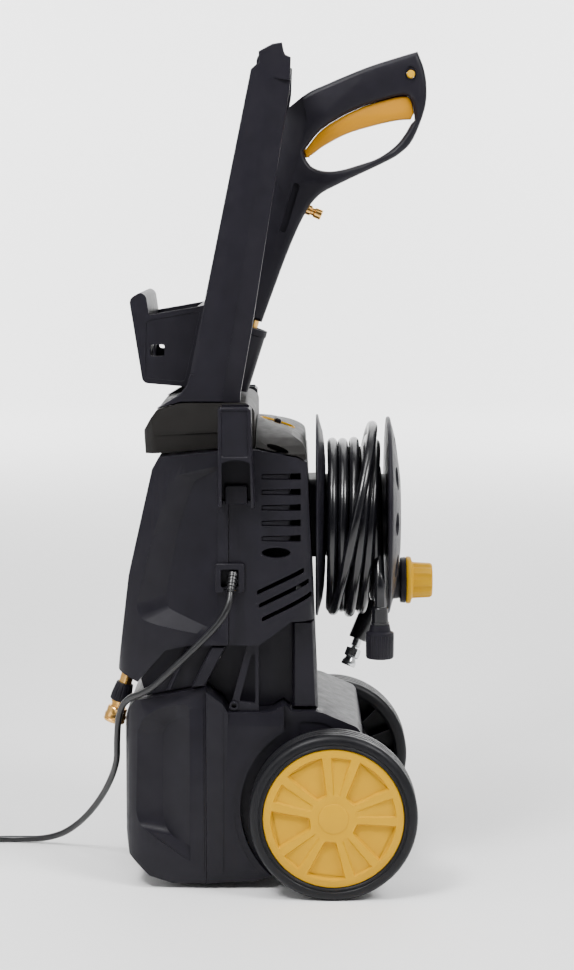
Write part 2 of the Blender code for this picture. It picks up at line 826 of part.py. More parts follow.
# ---- Reel ----
def reel_bracket():
    half = 0.040
    low, high = REEL_Z - 0.042, REEL_Z + 0.043
    face = REEL_PLANE + FLANGE_DISH - 0.001
    side = [
        (rear_face(low) + GAP, low),
        (face, low),
        (face, high),
        (rear_face(high) + GAP, high),
    ]
    return finished(prism("reel_bracket", side, "side", -half, half), "reel_bracket", BLACK)


def reel_axle():
    start = REEL_PLANE + FLANGE_DISH - 0.001 + GAP
    body = rod("reel_axle", (start, 0, REEL_Z), (DRUM_END + 0.012, 0, REEL_Z), REEL_AXLE_RADIUS)
    return finished(body, "reel_axle", STEEL)


def reel_inner_flange():
    bore = REEL_AXLE_RADIUS + RUNNING
    step = 0.062
    top = DRUM_START - GAP - REEL_PLANE
    profile = [
        (bore, FLANGE_DISH),
        (step, FLANGE_DISH),
        (0.090, 0.0045),
        (INNER_FLANGE_RADIUS - 0.002, 0.0),
        (INNER_FLANGE_RADIUS, 0.0006),
        (INNER_FLANGE_RADIUS, 0.0024),
        (0.091, 0.0045 + FLANGE),
        (step, top),
        (bore, top),
    ]
    body = turned("reel_inner_flange", profile, (REEL_PLANE, 0, REEL_Z), (1, 0, 0))
    return finished(body, "reel_inner_flange", BLACK)


def reel_drum():
    bore = REEL_AXLE_RADIUS + RUNNING
    hub = bore + 0.006
    inner = DRUM_RADIUS - WALL
    length = DRUM_END - DRUM_START
    middle = length / 2
    profile = [
        (bore, 0.0),
        (hub, 0.0),
        (hub, middle - WALL / 2),
        (inner, middle - WALL / 2),
        (inner, 0.0),
        (DRUM_RADIUS, 0.0),
        (DRUM_RADIUS, length),
        (inner, length),
        (inner, middle + WALL / 2),
        (hub, middle + WALL / 2),
        (hub, length),
        (bore, length),
    ]
    body = turned("reel_drum", profile, (DRUM_START, 0, REEL_Z), (1, 0, 0), steps=24)
    return finished(body, "reel_drum", BLACK)


def reel_outer_flange():
    """A domed flange whose boss carries the crank; it also caps the axle."""
    start = DRUM_END + GAP
    axle_end = 0.012 + GAP
    bore = REEL_AXLE_RADIUS + RUNNING
    profile = [
        (bore, 0.0),
        (0.060, 0.0),
        (OUTER_FLANGE_RADIUS, 0.0002),
        (OUTER_FLANGE_RADIUS, 0.0040),
        (0.096, 0.0068),
        (0.070, 0.0118),
        (0.045, 0.0152),
        (0.018, 0.0160),
        (0.0, 0.0164),
        (0.0, axle_end),
        (bore, axle_end),
    ]
    body = turned("reel_outer_flange", profile, (start, 0, REEL_Z), (1, 0, 0))
    z = REEL_Z - CRANK_OFFSET
    joined(
        body,
        rod("crank_boss", (start + 0.004, 0, z), (CRANK_X + 0.002, 0, z), 0.020),
        rod("crank_base", (CRANK_X, 0, z), (CRANK_X + 0.006, 0, z), KNOB_RADIUS - 0.001, KNOB_RADIUS, 32),
    )
    return finished(body, "reel_outer_flange", BLACK)


def crank_knob():
    start = CRANK_X + 0.006 + GAP
    profile = [
        (0.0, 0.0),
        (KNOB_RADIUS, 0.0),
        (KNOB_RADIUS + 0.0005, 0.003),
        (KNOB_RADIUS - 0.001, 0.0055),
        (KNOB_GRIP + 0.0015, 0.0065),
        (KNOB_GRIP, KNOB_LENGTH - 0.002),
        (KNOB_GRIP - 0.002, KNOB_LENGTH),
        (0.0, KNOB_LENGTH),
    ]
    body = turned("crank_knob", profile, (start, 0, REEL_Z - CRANK_OFFSET), (1, 0, 0), steps=32)
    return finished(body, "crank_knob", YELLOW)


# ---- Hose on the reel, with its two free ends ----
GUN_END_Y = 0.040  # where the two ends leave the winding
PUMP_END_Y = -0.0895
CONNECTOR_TOP = Vector((0.0986, GUN_END_Y, 0.2353))
NUT_TOP = Vector((0.1195, PUMP_END_Y, 0.2860))
NUT_AXIS = Vector((0.0, 0.0, 1.0))
NUT_RADIUS = 0.0150
NUT_LENGTH = 0.036


def hose_coil():
    """The outer shape of the wound hose."""
    low = DRUM_START + GAP
    high = DRUM_END - GAP
    round_off = 0.006
    width = high - low
    profile = [
        (COIL_INNER, round_off / 2),
        (COIL_INNER + round_off / 2, 0.0),
        (COIL_OUTER - round_off, 0.0),
        (COIL_OUTER - 0.0015, 0.0025),
        (COIL_OUTER, round_off),
        (COIL_OUTER, width - round_off),
        (COIL_OUTER - 0.0015, width - 0.0025),
        (COIL_OUTER - round_off, width),
        (COIL_INNER + round_off / 2, width),
        (COIL_INNER, width - round_off / 2),
    ]
    body = turned("hose_coil", profile, (low, 0, REEL_Z - COIL_DROP), (1, 0, 0), steps=32)
    return finished(body, "hose_coil", HOSE_BLACK)


def hose_ends():
    """Each end: the hose out of the winding, its sleeve and its fitting."""
    pieces = []
    leave = Vector((0.1150, GUN_END_Y + 0.0140, 0.2885))
    sleeve = Vector((0.1126, GUN_END_Y + 0.0080, 0.2670))
    direction = (CONNECTOR_TOP - sleeve).normalized()
    first = tube("hose_end_gun", [leave, sleeve - direction * 0.010, sleeve - direction * GAP], HOSE_RADIUS, 3)
    pieces.append(finished(first, "hose_end_gun", HOSE_BLACK))
    guard = rod("hose_bend_guard", sleeve, CONNECTOR_TOP, 0.0100, 0.0108)
    pieces.append(finished(guard, "hose_bend_guard", HOSE_BLACK))
    start = CONNECTOR_TOP + direction * GAP
    neck = rod("gun_connector", start, start + direction * 0.014, 0.0050, segments=16)
    body = rod("connector_nut", start + direction * 0.010, start + direction * 0.026, 0.0085, segments=6)
    tip = start + direction * 0.024
    joined(neck, body, rod("connector_tip", tip, tip + direction * 0.008, 0.0070, segments=16))
    pieces.append(finished(neck, "gun_connector", STEEL))

    leave = Vector((0.1190, PUMP_END_Y, 0.3280))
    second = tube("hose_end_pump", [leave, leave.lerp(NUT_TOP, 0.5), NUT_TOP], HOSE_RADIUS, 3)
    joined(second, rod("hose_stem", NUT_TOP + NUT_AXIS * 0.012, NUT_TOP - NUT_AXIS * 0.006, 0.0095))
    pieces.append(finished(second, "hose_end_pump", HOSE_BLACK))
    return pieces


def hose_nut():
    """The ribbed union nut on the pump end of the hose; it turns on the stem."""
    top = NUT_TOP - NUT_AXIS * (0.006 + GAP)
    profile = [
        (0.0, -0.010),
        (NUT_RADIUS - 0.004, -0.010),
        (NUT_RADIUS - 0.004, -NUT_LENGTH),
        (NUT_RADIUS - 0.001, -NUT_LENGTH),
        (NUT_RADIUS, 0.001 - NUT_LENGTH),
        (NUT_RADIUS, -0.012),
        (0.0115, -0.008),
        (0.0100, 0.0),
        (0.0, 0.0),
    ]
    return finished(turned("hose_nut", profile, top, NUT_AXIS, steps=28), "hose_nut", BLACK)


# ---- Gun ----
GUN_OUTER = [
    (0.0230, 0.8250),
    (0.0420, 0.8395),
    (0.0650, 0.8500),
    (0.1040, 0.8660),
    (0.1400, 0.8775),
    (0.1590, 0.8830),
    (0.1660, 0.8650),
    (0.1690, 0.8450),
    (0.1670, 0.8220),
    (0.1550, 0.7910),
    (0.1420, 0.7765),
    (0.1240, 0.7660),
    (0.0770, 0.7440),
    (0.0540, 0.7310),
    (0.0380, 0.7090),
    (0.0190, 0.6660),
    (-0.0070, 0.5955),
    (-0.0280, 0.6020),
    (-0.0080, 0.7000),
    (0.0020, 0.7600),
    (0.0090, 0.8000),
]
TRIGGER_TOP = [
    (0.0380, 0.7780),
    (0.0530, 0.7975),
    (0.0710, 0.8110),
    (0.0970, 0.8240),
    (0.1230, 0.8325),
    (0.1450, 0.8370),
    (0.1530, 0.8315),
    (0.1565, 0.8180),
    (0.1570, 0.8110),
]
LOOP_BOTTOM = [
    (0.1530, 0.8100),
    (0.1465, 0.7960),
    (0.1360, 0.7835),
    (0.1180, 0.7710),
    (0.0970, 0.7635),
    (0.0770, 0.7580),
    (0.0610, 0.7570),
    (0.0480, 0.7610),
    (0.0420, 0.7685),
]
TRIGGER_BOTTOM = [
    (0.1530, 0.8115),
    (0.1360, 0.8100),
    (0.1100, 0.8040),
    (0.0840, 0.7960),
    (0.0610, 0.7840),
    (0.0470, 0.7740),
    (0.0405, 0.7715),
]


TRIGGER_TAIL = (0.1530, 0.8315)
POCKET_STEPS = 2


def turned_points(points, centre, angle):
    """Points turned about a centre, so that the rear end rises."""
    c, s = math.cos(angle), math.sin(angle)
    return [
        (centre.x + (x - centre.x) * c - (z - centre.z) * s, centre.z + (x - centre.x) * s + (z - centre.z) * c)
        for x, z in points
    ]


def trigger_outline():
    """The trigger stays a clearance inside the opening it sits in."""
    return inset(TRIGGER_TOP[:-1] + TRIGGER_BOTTOM, 0.0006)


def gun_shell(name, sign):
    """One half of the gun: grip, hand loop and barrel cover, hollow where the trigger and the valve are."""
    low, high = sorted((sign * GAP / 2, sign * GUN_HALF))
    body = prism(name, GUN_OUTER, "side", low, high, TRIGGER_TOP + LOOP_BOTTOM)
    pocket_half = TRIGGER_HALF + 0.001
    swing = TRIGGER_TRAVEL + math.radians(1.2)
    tail = TRIGGER_TOP.index(TRIGGER_TAIL)
    swept = turned_points(TRIGGER_TOP[:tail], TRIGGER_PIVOT, swing)
    for step in range(POCKET_STEPS, 0, -1):
        swept += turned_points([TRIGGER_TAIL], TRIGGER_PIVOT, swing * step / POCKET_STEPS)
    swept = inset(swept + TRIGGER_TOP[tail:-1] + TRIGGER_BOTTOM, -0.0003)
    cut(body, prism("trigger_pocket", swept, "side", -pocket_half, pocket_half))
    lug = LUG_RADIUS + 2 * RUNNING
    x, z = TRIGGER_PIVOT.x, TRIGGER_PIVOT.z
    neck = [(x, z - lug), (x + 0.0135, z - lug), (x + 0.0125, z + 0.0115), (x + 0.001, z + lug)]
    cut(
        body,
        prism("lug_neck", neck, "side", -LUG_HALF - RUNNING, LUG_HALF + RUNNING),
        rod("lug_pocket", TRIGGER_PIVOT - Vector((0, LUG_HALF + RUNNING, 0)),
            TRIGGER_PIVOT + Vector((0, LUG_HALF + RUNNING, 0)), lug, segments=20),
        rod("barrel_bore", gun_axis_at(0.58), gun_axis_at(0.74), BARREL_RADIUS + RUNNING, segments=16),
        rod("valve_bore", gun_axis_at(0.692), gun_axis_at(0.738), VALVE_RADIUS + RUNNING, segments=20),
        rod("plug_bore", STUB_START, STUB_END, STUB_RADIUS + RUNNING, segments=20),
        rod("button_hole", BUTTON_CENTRE - Vector((0, 0.03, 0)), BUTTON_CENTRE + Vector((0, 0.03, 0)),
            BUTTON_RADIUS + RUNNING, segments=20),
        rod("pin_hole", TRIGGER_PIVOT - Vector((0, PIN_HALF + RUNNING, 0)),
            TRIGGER_PIVOT + Vector((0, PIN_HALF + RUNNING, 0)), PIN_RADIUS + RUNNING, segments=12),
    )
    return finished(body, name, BLACK)


STUB_START = Vector((0.0290, 0.0, 0.7215))
STUB_END = Vector((0.0575, 0.0, 0.7100))
STUB_RADIUS = 0.0055


def gun_plug():
    """The brass quick plug that the hose's connector clips onto."""
    along = (STUB_END - STUB_START).normalized()
    start = STUB_START + along * 0.003
    length = (STUB_END - start).length
    profile = [
        (0.0, 0.0),
        (STUB_RADIUS, 0.0),
        (STUB_RADIUS, length - 0.0125),
        (STUB_RADIUS - 0.0014, length - 0.0115),
        (STUB_RADIUS - 0.0014, length - 0.0090),
        (STUB_RADIUS, length - 0.0080),
        (STUB_RADIUS, length - 0.0008),
        (STUB_RADIUS - 0.0008, length),
        (0.0, length),
    ]
    return finished(turned("gun_plug", profile, start, along, steps=20), "gun_plug", BRASS)


def gun_valve():
    body = rod("gun_valve", gun_axis_at(0.694), gun_axis_at(0.716), VALVE_RADIUS, segments=20)
    stub_side = rod("valve_clear", STUB_START, STUB_END, STUB_RADIUS + 2 * RUNNING, segments=20)
    cut(body, stub_side)
    return finished(body, "gun_valve", BRASS)


def gun_barrel():
    body = rod("gun_barrel", gun_axis_at(0.524), gun_axis_at(0.6935), BARREL_RADIUS, segments=16)
    joined(body, rod("bayonet", gun_axis_at(0.545), gun_axis_at(0.575), 0.0105, segments=20))
    return finished(body, "gun_barrel", BRASS)


def gun_trigger():
    body = prism("gun_trigger", trigger_outline(), "side", -TRIGGER_HALF, TRIGGER_HALF)
    x, z = TRIGGER_PIVOT.x, TRIGGER_PIVOT.z
    reach = Vector((0, LUG_HALF, 0))
    arm = [(x, z - 0.0045), (x + 0.0125, z - 0.0025), (x + 0.0125, z + 0.0065), (x, z + 0.0050)]
    joined(
        body,
        prism("trigger_arm", arm, "side", -LUG_HALF, LUG_HALF),
        rod("trigger_lug", TRIGGER_PIVOT - reach, TRIGGER_PIVOT + reach, LUG_RADIUS, segments=20),
        rod("trigger_pin", TRIGGER_PIVOT - Vector((0, PIN_HALF, 0)), TRIGGER_PIVOT + Vector((0, PIN_HALF, 0)),
            PIN_RADIUS, segments=12),
    )
    return finished(body, "gun_trigger", TRIGGER_YELLOW)


def safety_button():
    low, high = -GUN_HALF - 0.001, GUN_HALF - 0.003
    centre = BUTTON_CENTRE
    body = rod("safety_button", (centre.x, low, centre.z), (centre.x, high, centre.z), BUTTON_RADIUS, segments=20)
    return finished(body, "safety_button", YELLOW)


# ---- Power switch ----
def switch_bezel():
    floor = SWITCH_CENTRE - SWITCH_NORMAL * (0.006 - GAP)
    profile = [(0.0165, 0.0), (SWITCH_RADIUS, 0.0), (SWITCH_RADIUS, 0.0052), (0.0185, 0.0052), (0.0165, 0.0015)]
    return finished(turned("switch_bezel", profile, floor, SWITCH_NORMAL, steps=32), "switch_bezel", YELLOW)


def switch_knob():
    floor = SWITCH_CENTRE - SWITCH_NORMAL * (0.006 - GAP)
    body = rod("switch_knob", floor, floor + SWITCH_NORMAL * 0.004, 0.0158, segments=28)
    bar = box("switch_bar", (-0.0135, -0.0035, 0.0), (0.0135, 0.0035, 0.0070))
    turn = SWITCH_NORMAL.to_track_quat("Z", "Y").to_matrix().to_4x4()
    bar.matrix_world = Matrix.Translation(floor + SWITCH_NORMAL * 0.003) @ turn
    shaft = rod("switch_stem", floor - SWITCH_NORMAL * 0.012, floor + SWITCH_NORMAL * 0.002, 0.0040, segments=12)
    joined(body, bar, shaft)
    return finished(body, "switch_knob", BLACK)


def switch_body():
    low = SWITCH_CENTRE + Vector((-0.014, 0, -0.074))
    return finished(
        box("switch_body", (low.x, -0.016, low.z), (low.x + 0.026, 0.016, low.z + 0.036)), "switch_body", BLACK
    )


# ---- Cord gland, cord and plug ----
GLAND_X = (-0.0505, -0.0260)
GLAND_Z = (0.3220, 0.3470)
GLAND_FRAME = 0.003
GLAND_DEPTH = 0.012


def gland_hole(name):
    return box(
        name,
        (GLAND_X[0], -BODY_HALF - 0.01, GLAND_Z[0]),
        (GLAND_X[1], -BODY_HALF + GLAND_DEPTH + 0.003, GLAND_Z[1]),
    )


def cord_gland():
    """A square boot with a raised frame, in the seam of the two upper covers."""
    skin = BODY_HALF + GAP
    proud = 0.0035
    body = box(
        "cord_gland",
        (GLAND_X[0] + GAP, -skin - proud, GLAND_Z[0] + GAP),
        (GLAND_X[1] - GAP, -BODY_HALF + GLAND_DEPTH, GLAND_Z[1] - GAP),
    )
    frame = box(
        "gland_frame",
        (GLAND_X[0] - GLAND_FRAME, -skin - proud, GLAND_Z[0] - GLAND_FRAME),
        (GLAND_X[1] + GLAND_FRAME, -skin, GLAND_Z[1] + GLAND_FRAME),
    )
    joined(body, frame)
    pocket = box(
        "gland_pocket",
        (GLAND_X[0] + WALL, -skin - 0.02, GLAND_Z[0] + WALL),
        (GLAND_X[1] - WALL, -BODY_HALF + GLAND_DEPTH - WALL, GLAND_Z[1] - WALL),
    )
    outlet = box(
        "gland_outlet",
        (-0.0440, -skin - 0.02, GLAND_Z[0] - 0.01),
        (-0.0300, -skin + 0.0015, GLAND_Z[0] + 0.01),
    )
    cut(body, pocket, outlet, relief_shape("relief_hole", RUNNING))
    return finished(body, "cord_gland", BLACK)


def relief_shape(name, clearance=0.0):
    """The tapered sleeve from inside the gland to where the cord leaves it."""
    exit_point = Vector(CORD_ROUTE[0])
    along = (exit_point - RELIEF_START).normalized()
    end = exit_point - along * GAP
    return rod(name, RELIEF_START - along * clearance, end, RELIEF_RADIUS + clearance, 0.0045 + clearance, 20)


def strain_relief():
    return finished(relief_shape("strain_relief"), "strain_relief", CORD_BLACK)


def power_cord():
    return finished(tube("power_cord", smooth_route(CORD_ROUTE, 0.0135), CORD_RADIUS), "power_cord", CORD_BLACK)


def power_cord_coil():
    half = (CORD_COIL_OUTER - CORD_COIL_INNER) / 2
    height = CORD_COIL_HEIGHT
    middle = CORD_COIL_INNER + half
    round_off = 0.0035
    profile = [
        (middle - half, round_off),
        (middle - half + round_off, 0.0),
        (middle + half - round_off, 0.0),
        (middle + half, round_off),
        (middle + half, height - round_off),
        (middle + half - round_off, height),
        (middle - half + round_off, height),
        (middle - half, height - round_off),
    ]
    floor = CORD_COIL + Vector((0, 0, 0.0002))
    return finished(turned("power_cord_coil", profile, floor, (0, 0, 1), steps=32), "power_cord_coil", CORD_BLACK)


def power_plug():
    """The moulded plug, lying beside the coil with the boot on its cord against the last turn."""
    direction = PLUG_AXIS
    profile = [
        (0.0, 0.0),
        (0.0045, 0.0),
        (0.0060, 0.016),
        (0.0120, 0.020),
        (PLUG_RADIUS, 0.024),
        (PLUG_RADIUS, PLUG_LENGTH - 0.002),
        (PLUG_RADIUS - 0.002, PLUG_LENGTH),
        (0.0, PLUG_LENGTH),
    ]
    lifted = PLUG_START
    body = turned("power_plug", profile, lifted, direction, steps=24)
    across = Vector((-direction.y, direction.x, 0))
    for sign in (-1, 1):
        root = lifted + direction * (PLUG_LENGTH - 0.004) + across * 0.0095 * sign
        joined(body, rod("plug_pin", root, root + direction * 0.0225, 0.0024, segments=12))
    return finished(body, "power_plug", CORD_BLACK)


# ---- Water inlet ----
def inlet_point(distance):
    return INLET_END + INLET_AXIS * distance


def inlet_hole():
    return rod("inlet_hole", inlet_point(0.050), inlet_point(0.100), INLET_RADIUS + RUNNING)


def inlet_spigot():
    body = rod("inlet_spigot", inlet_point(0.0245), inlet_point(0.082), INLET_RADIUS)
    return finished(body, "inlet_spigot", BRASS)


def inlet_collar():
    """The ribbed swivel nut that holds the coupler on the inlet."""
    bore = INLET_RADIUS + RUNNING
    profile = [
        (bore, 0.0245),
        (0.0108, 0.0245),
        (0.0114, 0.0265),
        (0.0110, 0.0320),
        (0.0090, 0.0450),
        (bore, 0.0450),
    ]
    return finished(turned("inlet_collar", profile, INLET_END, INLET_AXIS, steps=28), "inlet_collar", BLACK)


def quick_coupler():
    profile = [
        (COUPLER_BORE, 0.0004),
        (0.0080, 0.0004),
        (0.0080, 0.0215),
        (0.0090, 0.0220),
        (0.0090, 0.0240),
        (COUPLER_BORE, 0.0240),
    ]
    return finished(turned("quick_coupler", profile, INLET_END, INLET_AXIS, steps=24), "quick_coupler", BRASS)


def coupler_sleeve():
    """The sprung brass ring that is pushed back to free a garden hose."""
    bore = 0.0080 + RUNNING
    profile = [
        (bore, 0.0),
        (0.0105, 0.0),
        (0.0118, 0.0015),
        (0.0118, 0.0085),
        (0.0108, 0.0100),
        (0.0108, 0.0160),
        (0.0098, 0.0170),
        (bore, 0.0170),
    ]
    return finished(turned("coupler_sleeve", profile, INLET_END, INLET_AXIS, steps=20), "coupler_sleeve", BRASS)


# ---- Inside the housing ----
def motor():
    body = rod("motor", (MOTOR_X, 0, MOTOR_BOTTOM), (MOTOR_X, 0, MOTOR_TOP), MOTOR_RADIUS, segments=32)
    bore = rod("motor_bore", (MOTOR_X, 0, 0.3), (MOTOR_X, 0, 0.5), SHAFT_RADIUS + RUNNING, segments=20)
    return finished(cut(body, bore), "motor", STEEL)


def motor_shaft():
    body = rod("motor_shaft", (MOTOR_X, 0, MOTOR_BOTTOM - 0.002), (MOTOR_X, 0, MOTOR_TOP + 0.014), SHAFT_RADIUS,
               segments=20)
    return finished(body, "motor_shaft", STEEL)


def motor_fan():
    """Six blades between a hub and a ring, pressed on the shaft above the motor."""
    bottom, top = MOTOR_TOP + 0.002, MOTOR_TOP + 0.012
    hub = rod("motor_fan", (MOTOR_X, 0, bottom), (MOTOR_X, 0, top), 0.014, segments=20)
    for i in range(6):
        blade = box("fan_blade", (0.010, -0.0012, bottom), (0.0385, 0.0012, top - 0.001))
        spin = Matrix.Rotation(math.tau * i / 6, 4, "Z")
        blade.matrix_world = Matrix.Translation((MOTOR_X, 0, 0)) @ spin
        joined(hub, blade)
    bore = rod("fan_bore", (MOTOR_X, 0, bottom - 0.01), (MOTOR_X, 0, top + 0.01), SHAFT_RADIUS + GAP, segments=20)
    return finished(cut(hub, bore), "motor_fan", BLACK)


def pump():
    body = rod("pump", (PUMP_X, 0, PUMP_BOTTOM), (PUMP_X, 0, MOTOR_BOTTOM - 0.003), PUMP_RADIUS, segments=28)
    return finished(body, "pump", ALUMINIUM)


def capacitor():
    return finished(rod("capacitor", (0.010, 0.060, 0.345), (0.010, 0.060, 0.425), 0.020), "capacitor", ALUMINIUM)


# ---- Assembly ----
def build():
    frame = pivot("pressure_washer_frame", (0, 0, 0))
    fixed = [
        lower_front_cover(),
        base_housing(),
        neck_cover(),
        upper_front_cover(),
        rear_cover(),
        rear_tower(),
        top_hood(),
        top_rear_cover(),
        handle_grip(),
        accessory_basket(),
        gun_holster(),
        wheel_axle(),
        reel_bracket(),
        reel_axle(),
        switch_bezel(),
        switch_body(),
        cord_gland(),
        strain_relief(),
        power_cord(),
        power_cord_coil(),
        power_plug(),
        inlet_spigot(),
        quick_coupler(),
        motor(),
        pump(),
        capacitor(),
    ]
    for side, sign in (("left", -1), ("right", 1)):
        fixed += [
            handle_arm(f"handle_arm_{side}", sign),
            side_holster(f"side_holster_{side}", sign),
            side_brace(f"side_brace_{side}", sign),
            foot(f"foot_{side}", sign),
        ]
        hub = pivot(f"wheel_{side}_pivot", (AXLE_X, sign * WHEEL_INNER, WHEEL_RADIUS), frame)
        hang(hub, wheel(f"wheel_{side}", sign), wheel_cap(f"wheel_cap_{side}", sign))
    hang(frame, *fixed)

    reel = pivot("reel_pivot", (DRUM_START, 0, REEL_Z), frame)
    hang(reel, reel_inner_flange(), reel_drum(), reel_outer_flange(), hose_coil(), *hose_ends())
    hang(pivot("crank_pivot", (CRANK_X, 0, REEL_Z - CRANK_OFFSET), reel), crank_knob())
    hang(pivot("hose_nut_pivot", NUT_TOP, reel), hose_nut())

    gun = pivot("gun_slide", gun_axis_at(0.590), frame)
    hang(gun, gun_shell("gun_shell_left", -1), gun_shell("gun_shell_right", 1), gun_plug(), gun_valve(), gun_barrel())
    hang(pivot("trigger_pivot", TRIGGER_PIVOT, gun), gun_trigger())
    hang(pivot("button_slide", BUTTON_CENTRE, gun), safety_button())

    hang(pivot("switch_pivot", SWITCH_CENTRE, frame), switch_knob())
    hang(pivot("inlet_collar_pivot", INLET_END, frame), inlet_collar())
    hang(pivot("coupler_slide", INLET_END, frame), coupler_sleeve())
    hang(pivot("motor_pivot", (MOTOR_X, 0, MOTOR_BOTTOM), frame), motor_shaft(), motor_fan())


build()
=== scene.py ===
"""Looks of the pressure washer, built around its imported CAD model.

Metres and +Z up. The machine's front, with the water inlet and the basket, is at -X.
Its rear, with the hose reel and the wheels, is at +X, and its left side is at -Y.
"""

import json
import math

import bmesh
import bpy
from mathutils import Matrix, Vector


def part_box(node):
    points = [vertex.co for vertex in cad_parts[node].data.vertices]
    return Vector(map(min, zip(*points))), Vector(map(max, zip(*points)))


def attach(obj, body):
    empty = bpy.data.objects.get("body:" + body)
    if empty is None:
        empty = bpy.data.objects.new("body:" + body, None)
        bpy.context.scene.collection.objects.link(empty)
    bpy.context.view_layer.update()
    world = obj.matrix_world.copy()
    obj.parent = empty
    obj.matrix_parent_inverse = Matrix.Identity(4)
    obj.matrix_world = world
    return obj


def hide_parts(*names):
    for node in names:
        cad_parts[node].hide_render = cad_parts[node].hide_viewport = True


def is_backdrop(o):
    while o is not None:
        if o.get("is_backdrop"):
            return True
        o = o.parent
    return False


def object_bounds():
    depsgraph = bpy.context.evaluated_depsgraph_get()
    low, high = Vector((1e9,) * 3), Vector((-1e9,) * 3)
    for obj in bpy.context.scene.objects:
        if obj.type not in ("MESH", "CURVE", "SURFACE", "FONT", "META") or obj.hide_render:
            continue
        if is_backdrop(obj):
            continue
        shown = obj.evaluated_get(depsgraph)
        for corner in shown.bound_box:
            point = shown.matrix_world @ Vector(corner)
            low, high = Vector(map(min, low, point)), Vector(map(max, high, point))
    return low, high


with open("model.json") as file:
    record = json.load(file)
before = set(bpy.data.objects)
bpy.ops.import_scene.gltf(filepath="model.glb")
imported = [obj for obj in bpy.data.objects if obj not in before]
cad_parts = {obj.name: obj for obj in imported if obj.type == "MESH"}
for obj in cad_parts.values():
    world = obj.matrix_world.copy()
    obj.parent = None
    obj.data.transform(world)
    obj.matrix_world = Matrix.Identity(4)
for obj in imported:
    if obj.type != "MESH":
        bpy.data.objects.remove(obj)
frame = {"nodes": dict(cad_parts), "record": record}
CAD_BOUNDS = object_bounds()
NODES = frame["nodes"]


# ---- Camera ----
def add_camera():
    lens = bpy.data.cameras.new("camera")
    lens.lens = 85
    lens.sensor_width = 36
    camera = bpy.data.objects.new("camera", lens)
    camera.location = (0.044, -2.484, 0.7072)
    camera.rotation_euler = (math.radians(90 - 6.65), 0, math.radians(0.55))
    bpy.context.scene.collection.objects.link(camera)
    bpy.context.scene.camera = camera


add_camera()


# ---- Materials ----
MOTTLE_SCALE = 40.0
GLOSS_SPREAD = 0.12
GRAIN_HEIGHT = 0.0004


def material(name, color, roughness, metallic=0.0, mottle=0.12, grain=0.0, grain_scale=1500.0, **constants):
    """A moulded, cast or turned surface: mottled colour and gloss, and a fine grain as bump."""
    made = bpy.data.materials.new(name)
    made.use_nodes = True
    nodes, links = made.node_tree.nodes, made.node_tree.links
    shader = nodes["Principled BSDF"]
    shader.inputs["Metallic"].default_value = metallic
    for socket, value in constants.items():
        shader.inputs[socket.replace("_", " ")].default_value = value
    place = nodes.new("ShaderNodeTexCoord").outputs["Object"]

    def noise(scale, detail):
        made_noise = nodes.new("ShaderNodeTexNoise")
        made_noise.inputs["Scale"].default_value = scale
        made_noise.inputs["Detail"].default_value = detail
        links.new(place, made_noise.inputs["Vector"])
        return made_noise.outputs["Fac"]

    def ramp(source, low, high):
        made_ramp = nodes.new("ShaderNodeMapRange")
        made_ramp.inputs["From Min"].default_value = 0.3
        made_ramp.inputs["From Max"].default_value = 0.7
        made_ramp.inputs["To Min"].default_value = low
        made_ramp.inputs["To Max"].default_value = high
        links.new(source, made_ramp.inputs["Value"])
        return made_ramp.outputs["Result"]

    broad = noise(MOTTLE_SCALE, 4)
    mix = nodes.new("ShaderNodeMix")
    mix.data_type = "RGBA"
    mix.inputs["A"].default_value = (*[c * (1 - mottle) for c in color], 1)
    mix.inputs["B"].default_value = (*[c * (1 + mottle) for c in color], 1)
    links.new(ramp(broad, 0, 1), mix.inputs["Factor"])
    links.new(mix.outputs["Result"], shader.inputs["Base Color"])
    gloss = ramp(noise(MOTTLE_SCALE * 2.3, 3), roughness * (1 - GLOSS_SPREAD), roughness * (1 + GLOSS_SPREAD))
    links.new(gloss, shader.inputs["Roughness"])
    if grain:
        bump = nodes.new("ShaderNodeBump")
        bump.inputs["Strength"].default_value = grain
        bump.inputs["Distance"].default_value = GRAIN_HEIGHT
        links.new(noise(grain_scale, 2), bump.inputs["Height"])
        links.new(bump.outputs["Normal"], shader.inputs["Normal"])
    return made


LOOKS = {
    "black_plastic": material("black_plastic_look", (0.0092, 0.0084, 0.0122), 0.42, grain=0.2,
                              grain_scale=1700, Specular_IOR_Level=0.17),
    "hood_plastic": material("hood_plastic_look", (0.009, 0.0082, 0.0076), 0.5, mottle=0.03, grain=0.05,
                             grain_scale=2500, Specular_IOR_Level=0.15),
    "yellow_plastic": material("yellow_plastic_look", (0.56, 0.295, 0.0), 0.5, mottle=0.02, grain=0.05,
                               Specular_IOR_Level=0.2),
    "trigger_plastic": material("trigger_plastic_look", (0.42, 0.18, 0.0), 0.46, mottle=0.03, grain=0.05,
                                Specular_IOR_Level=0.25),
    "tyre": material("tyre_look", (0.0065, 0.0065, 0.008), 0.42, grain=0.12, grain_scale=900,
                     Specular_IOR_Level=0.2),
    "foot_rubber": material("foot_rubber_look", (0.008, 0.008, 0.009), 0.7, grain=0.3, grain_scale=900),
    "hose_rubber": material("hose_look", (0.0045, 0.0045, 0.006), 0.22, mottle=0.15, grain=0.05,
                            grain_scale=700),
    "cord_pvc": material("cord_look", (0.005, 0.005, 0.006), 0.34, grain=0.04),
    "brass": material("brass_look", (0.83, 0.47, 0.13), 0.24, 1.0, grain=0.08, grain_scale=500),
    "steel": material("steel_look", (0.66, 0.67, 0.68), 0.22, 1.0, grain=0.08, grain_scale=700),
    "aluminium": material("aluminium_look", (0.62, 0.62, 0.64), 0.45, 1.0, grain=0.3, grain_scale=900),
}
BODY_OF = {node: body for body, members in frame["record"]["behaviour"]["bodies"].items() for node in members}
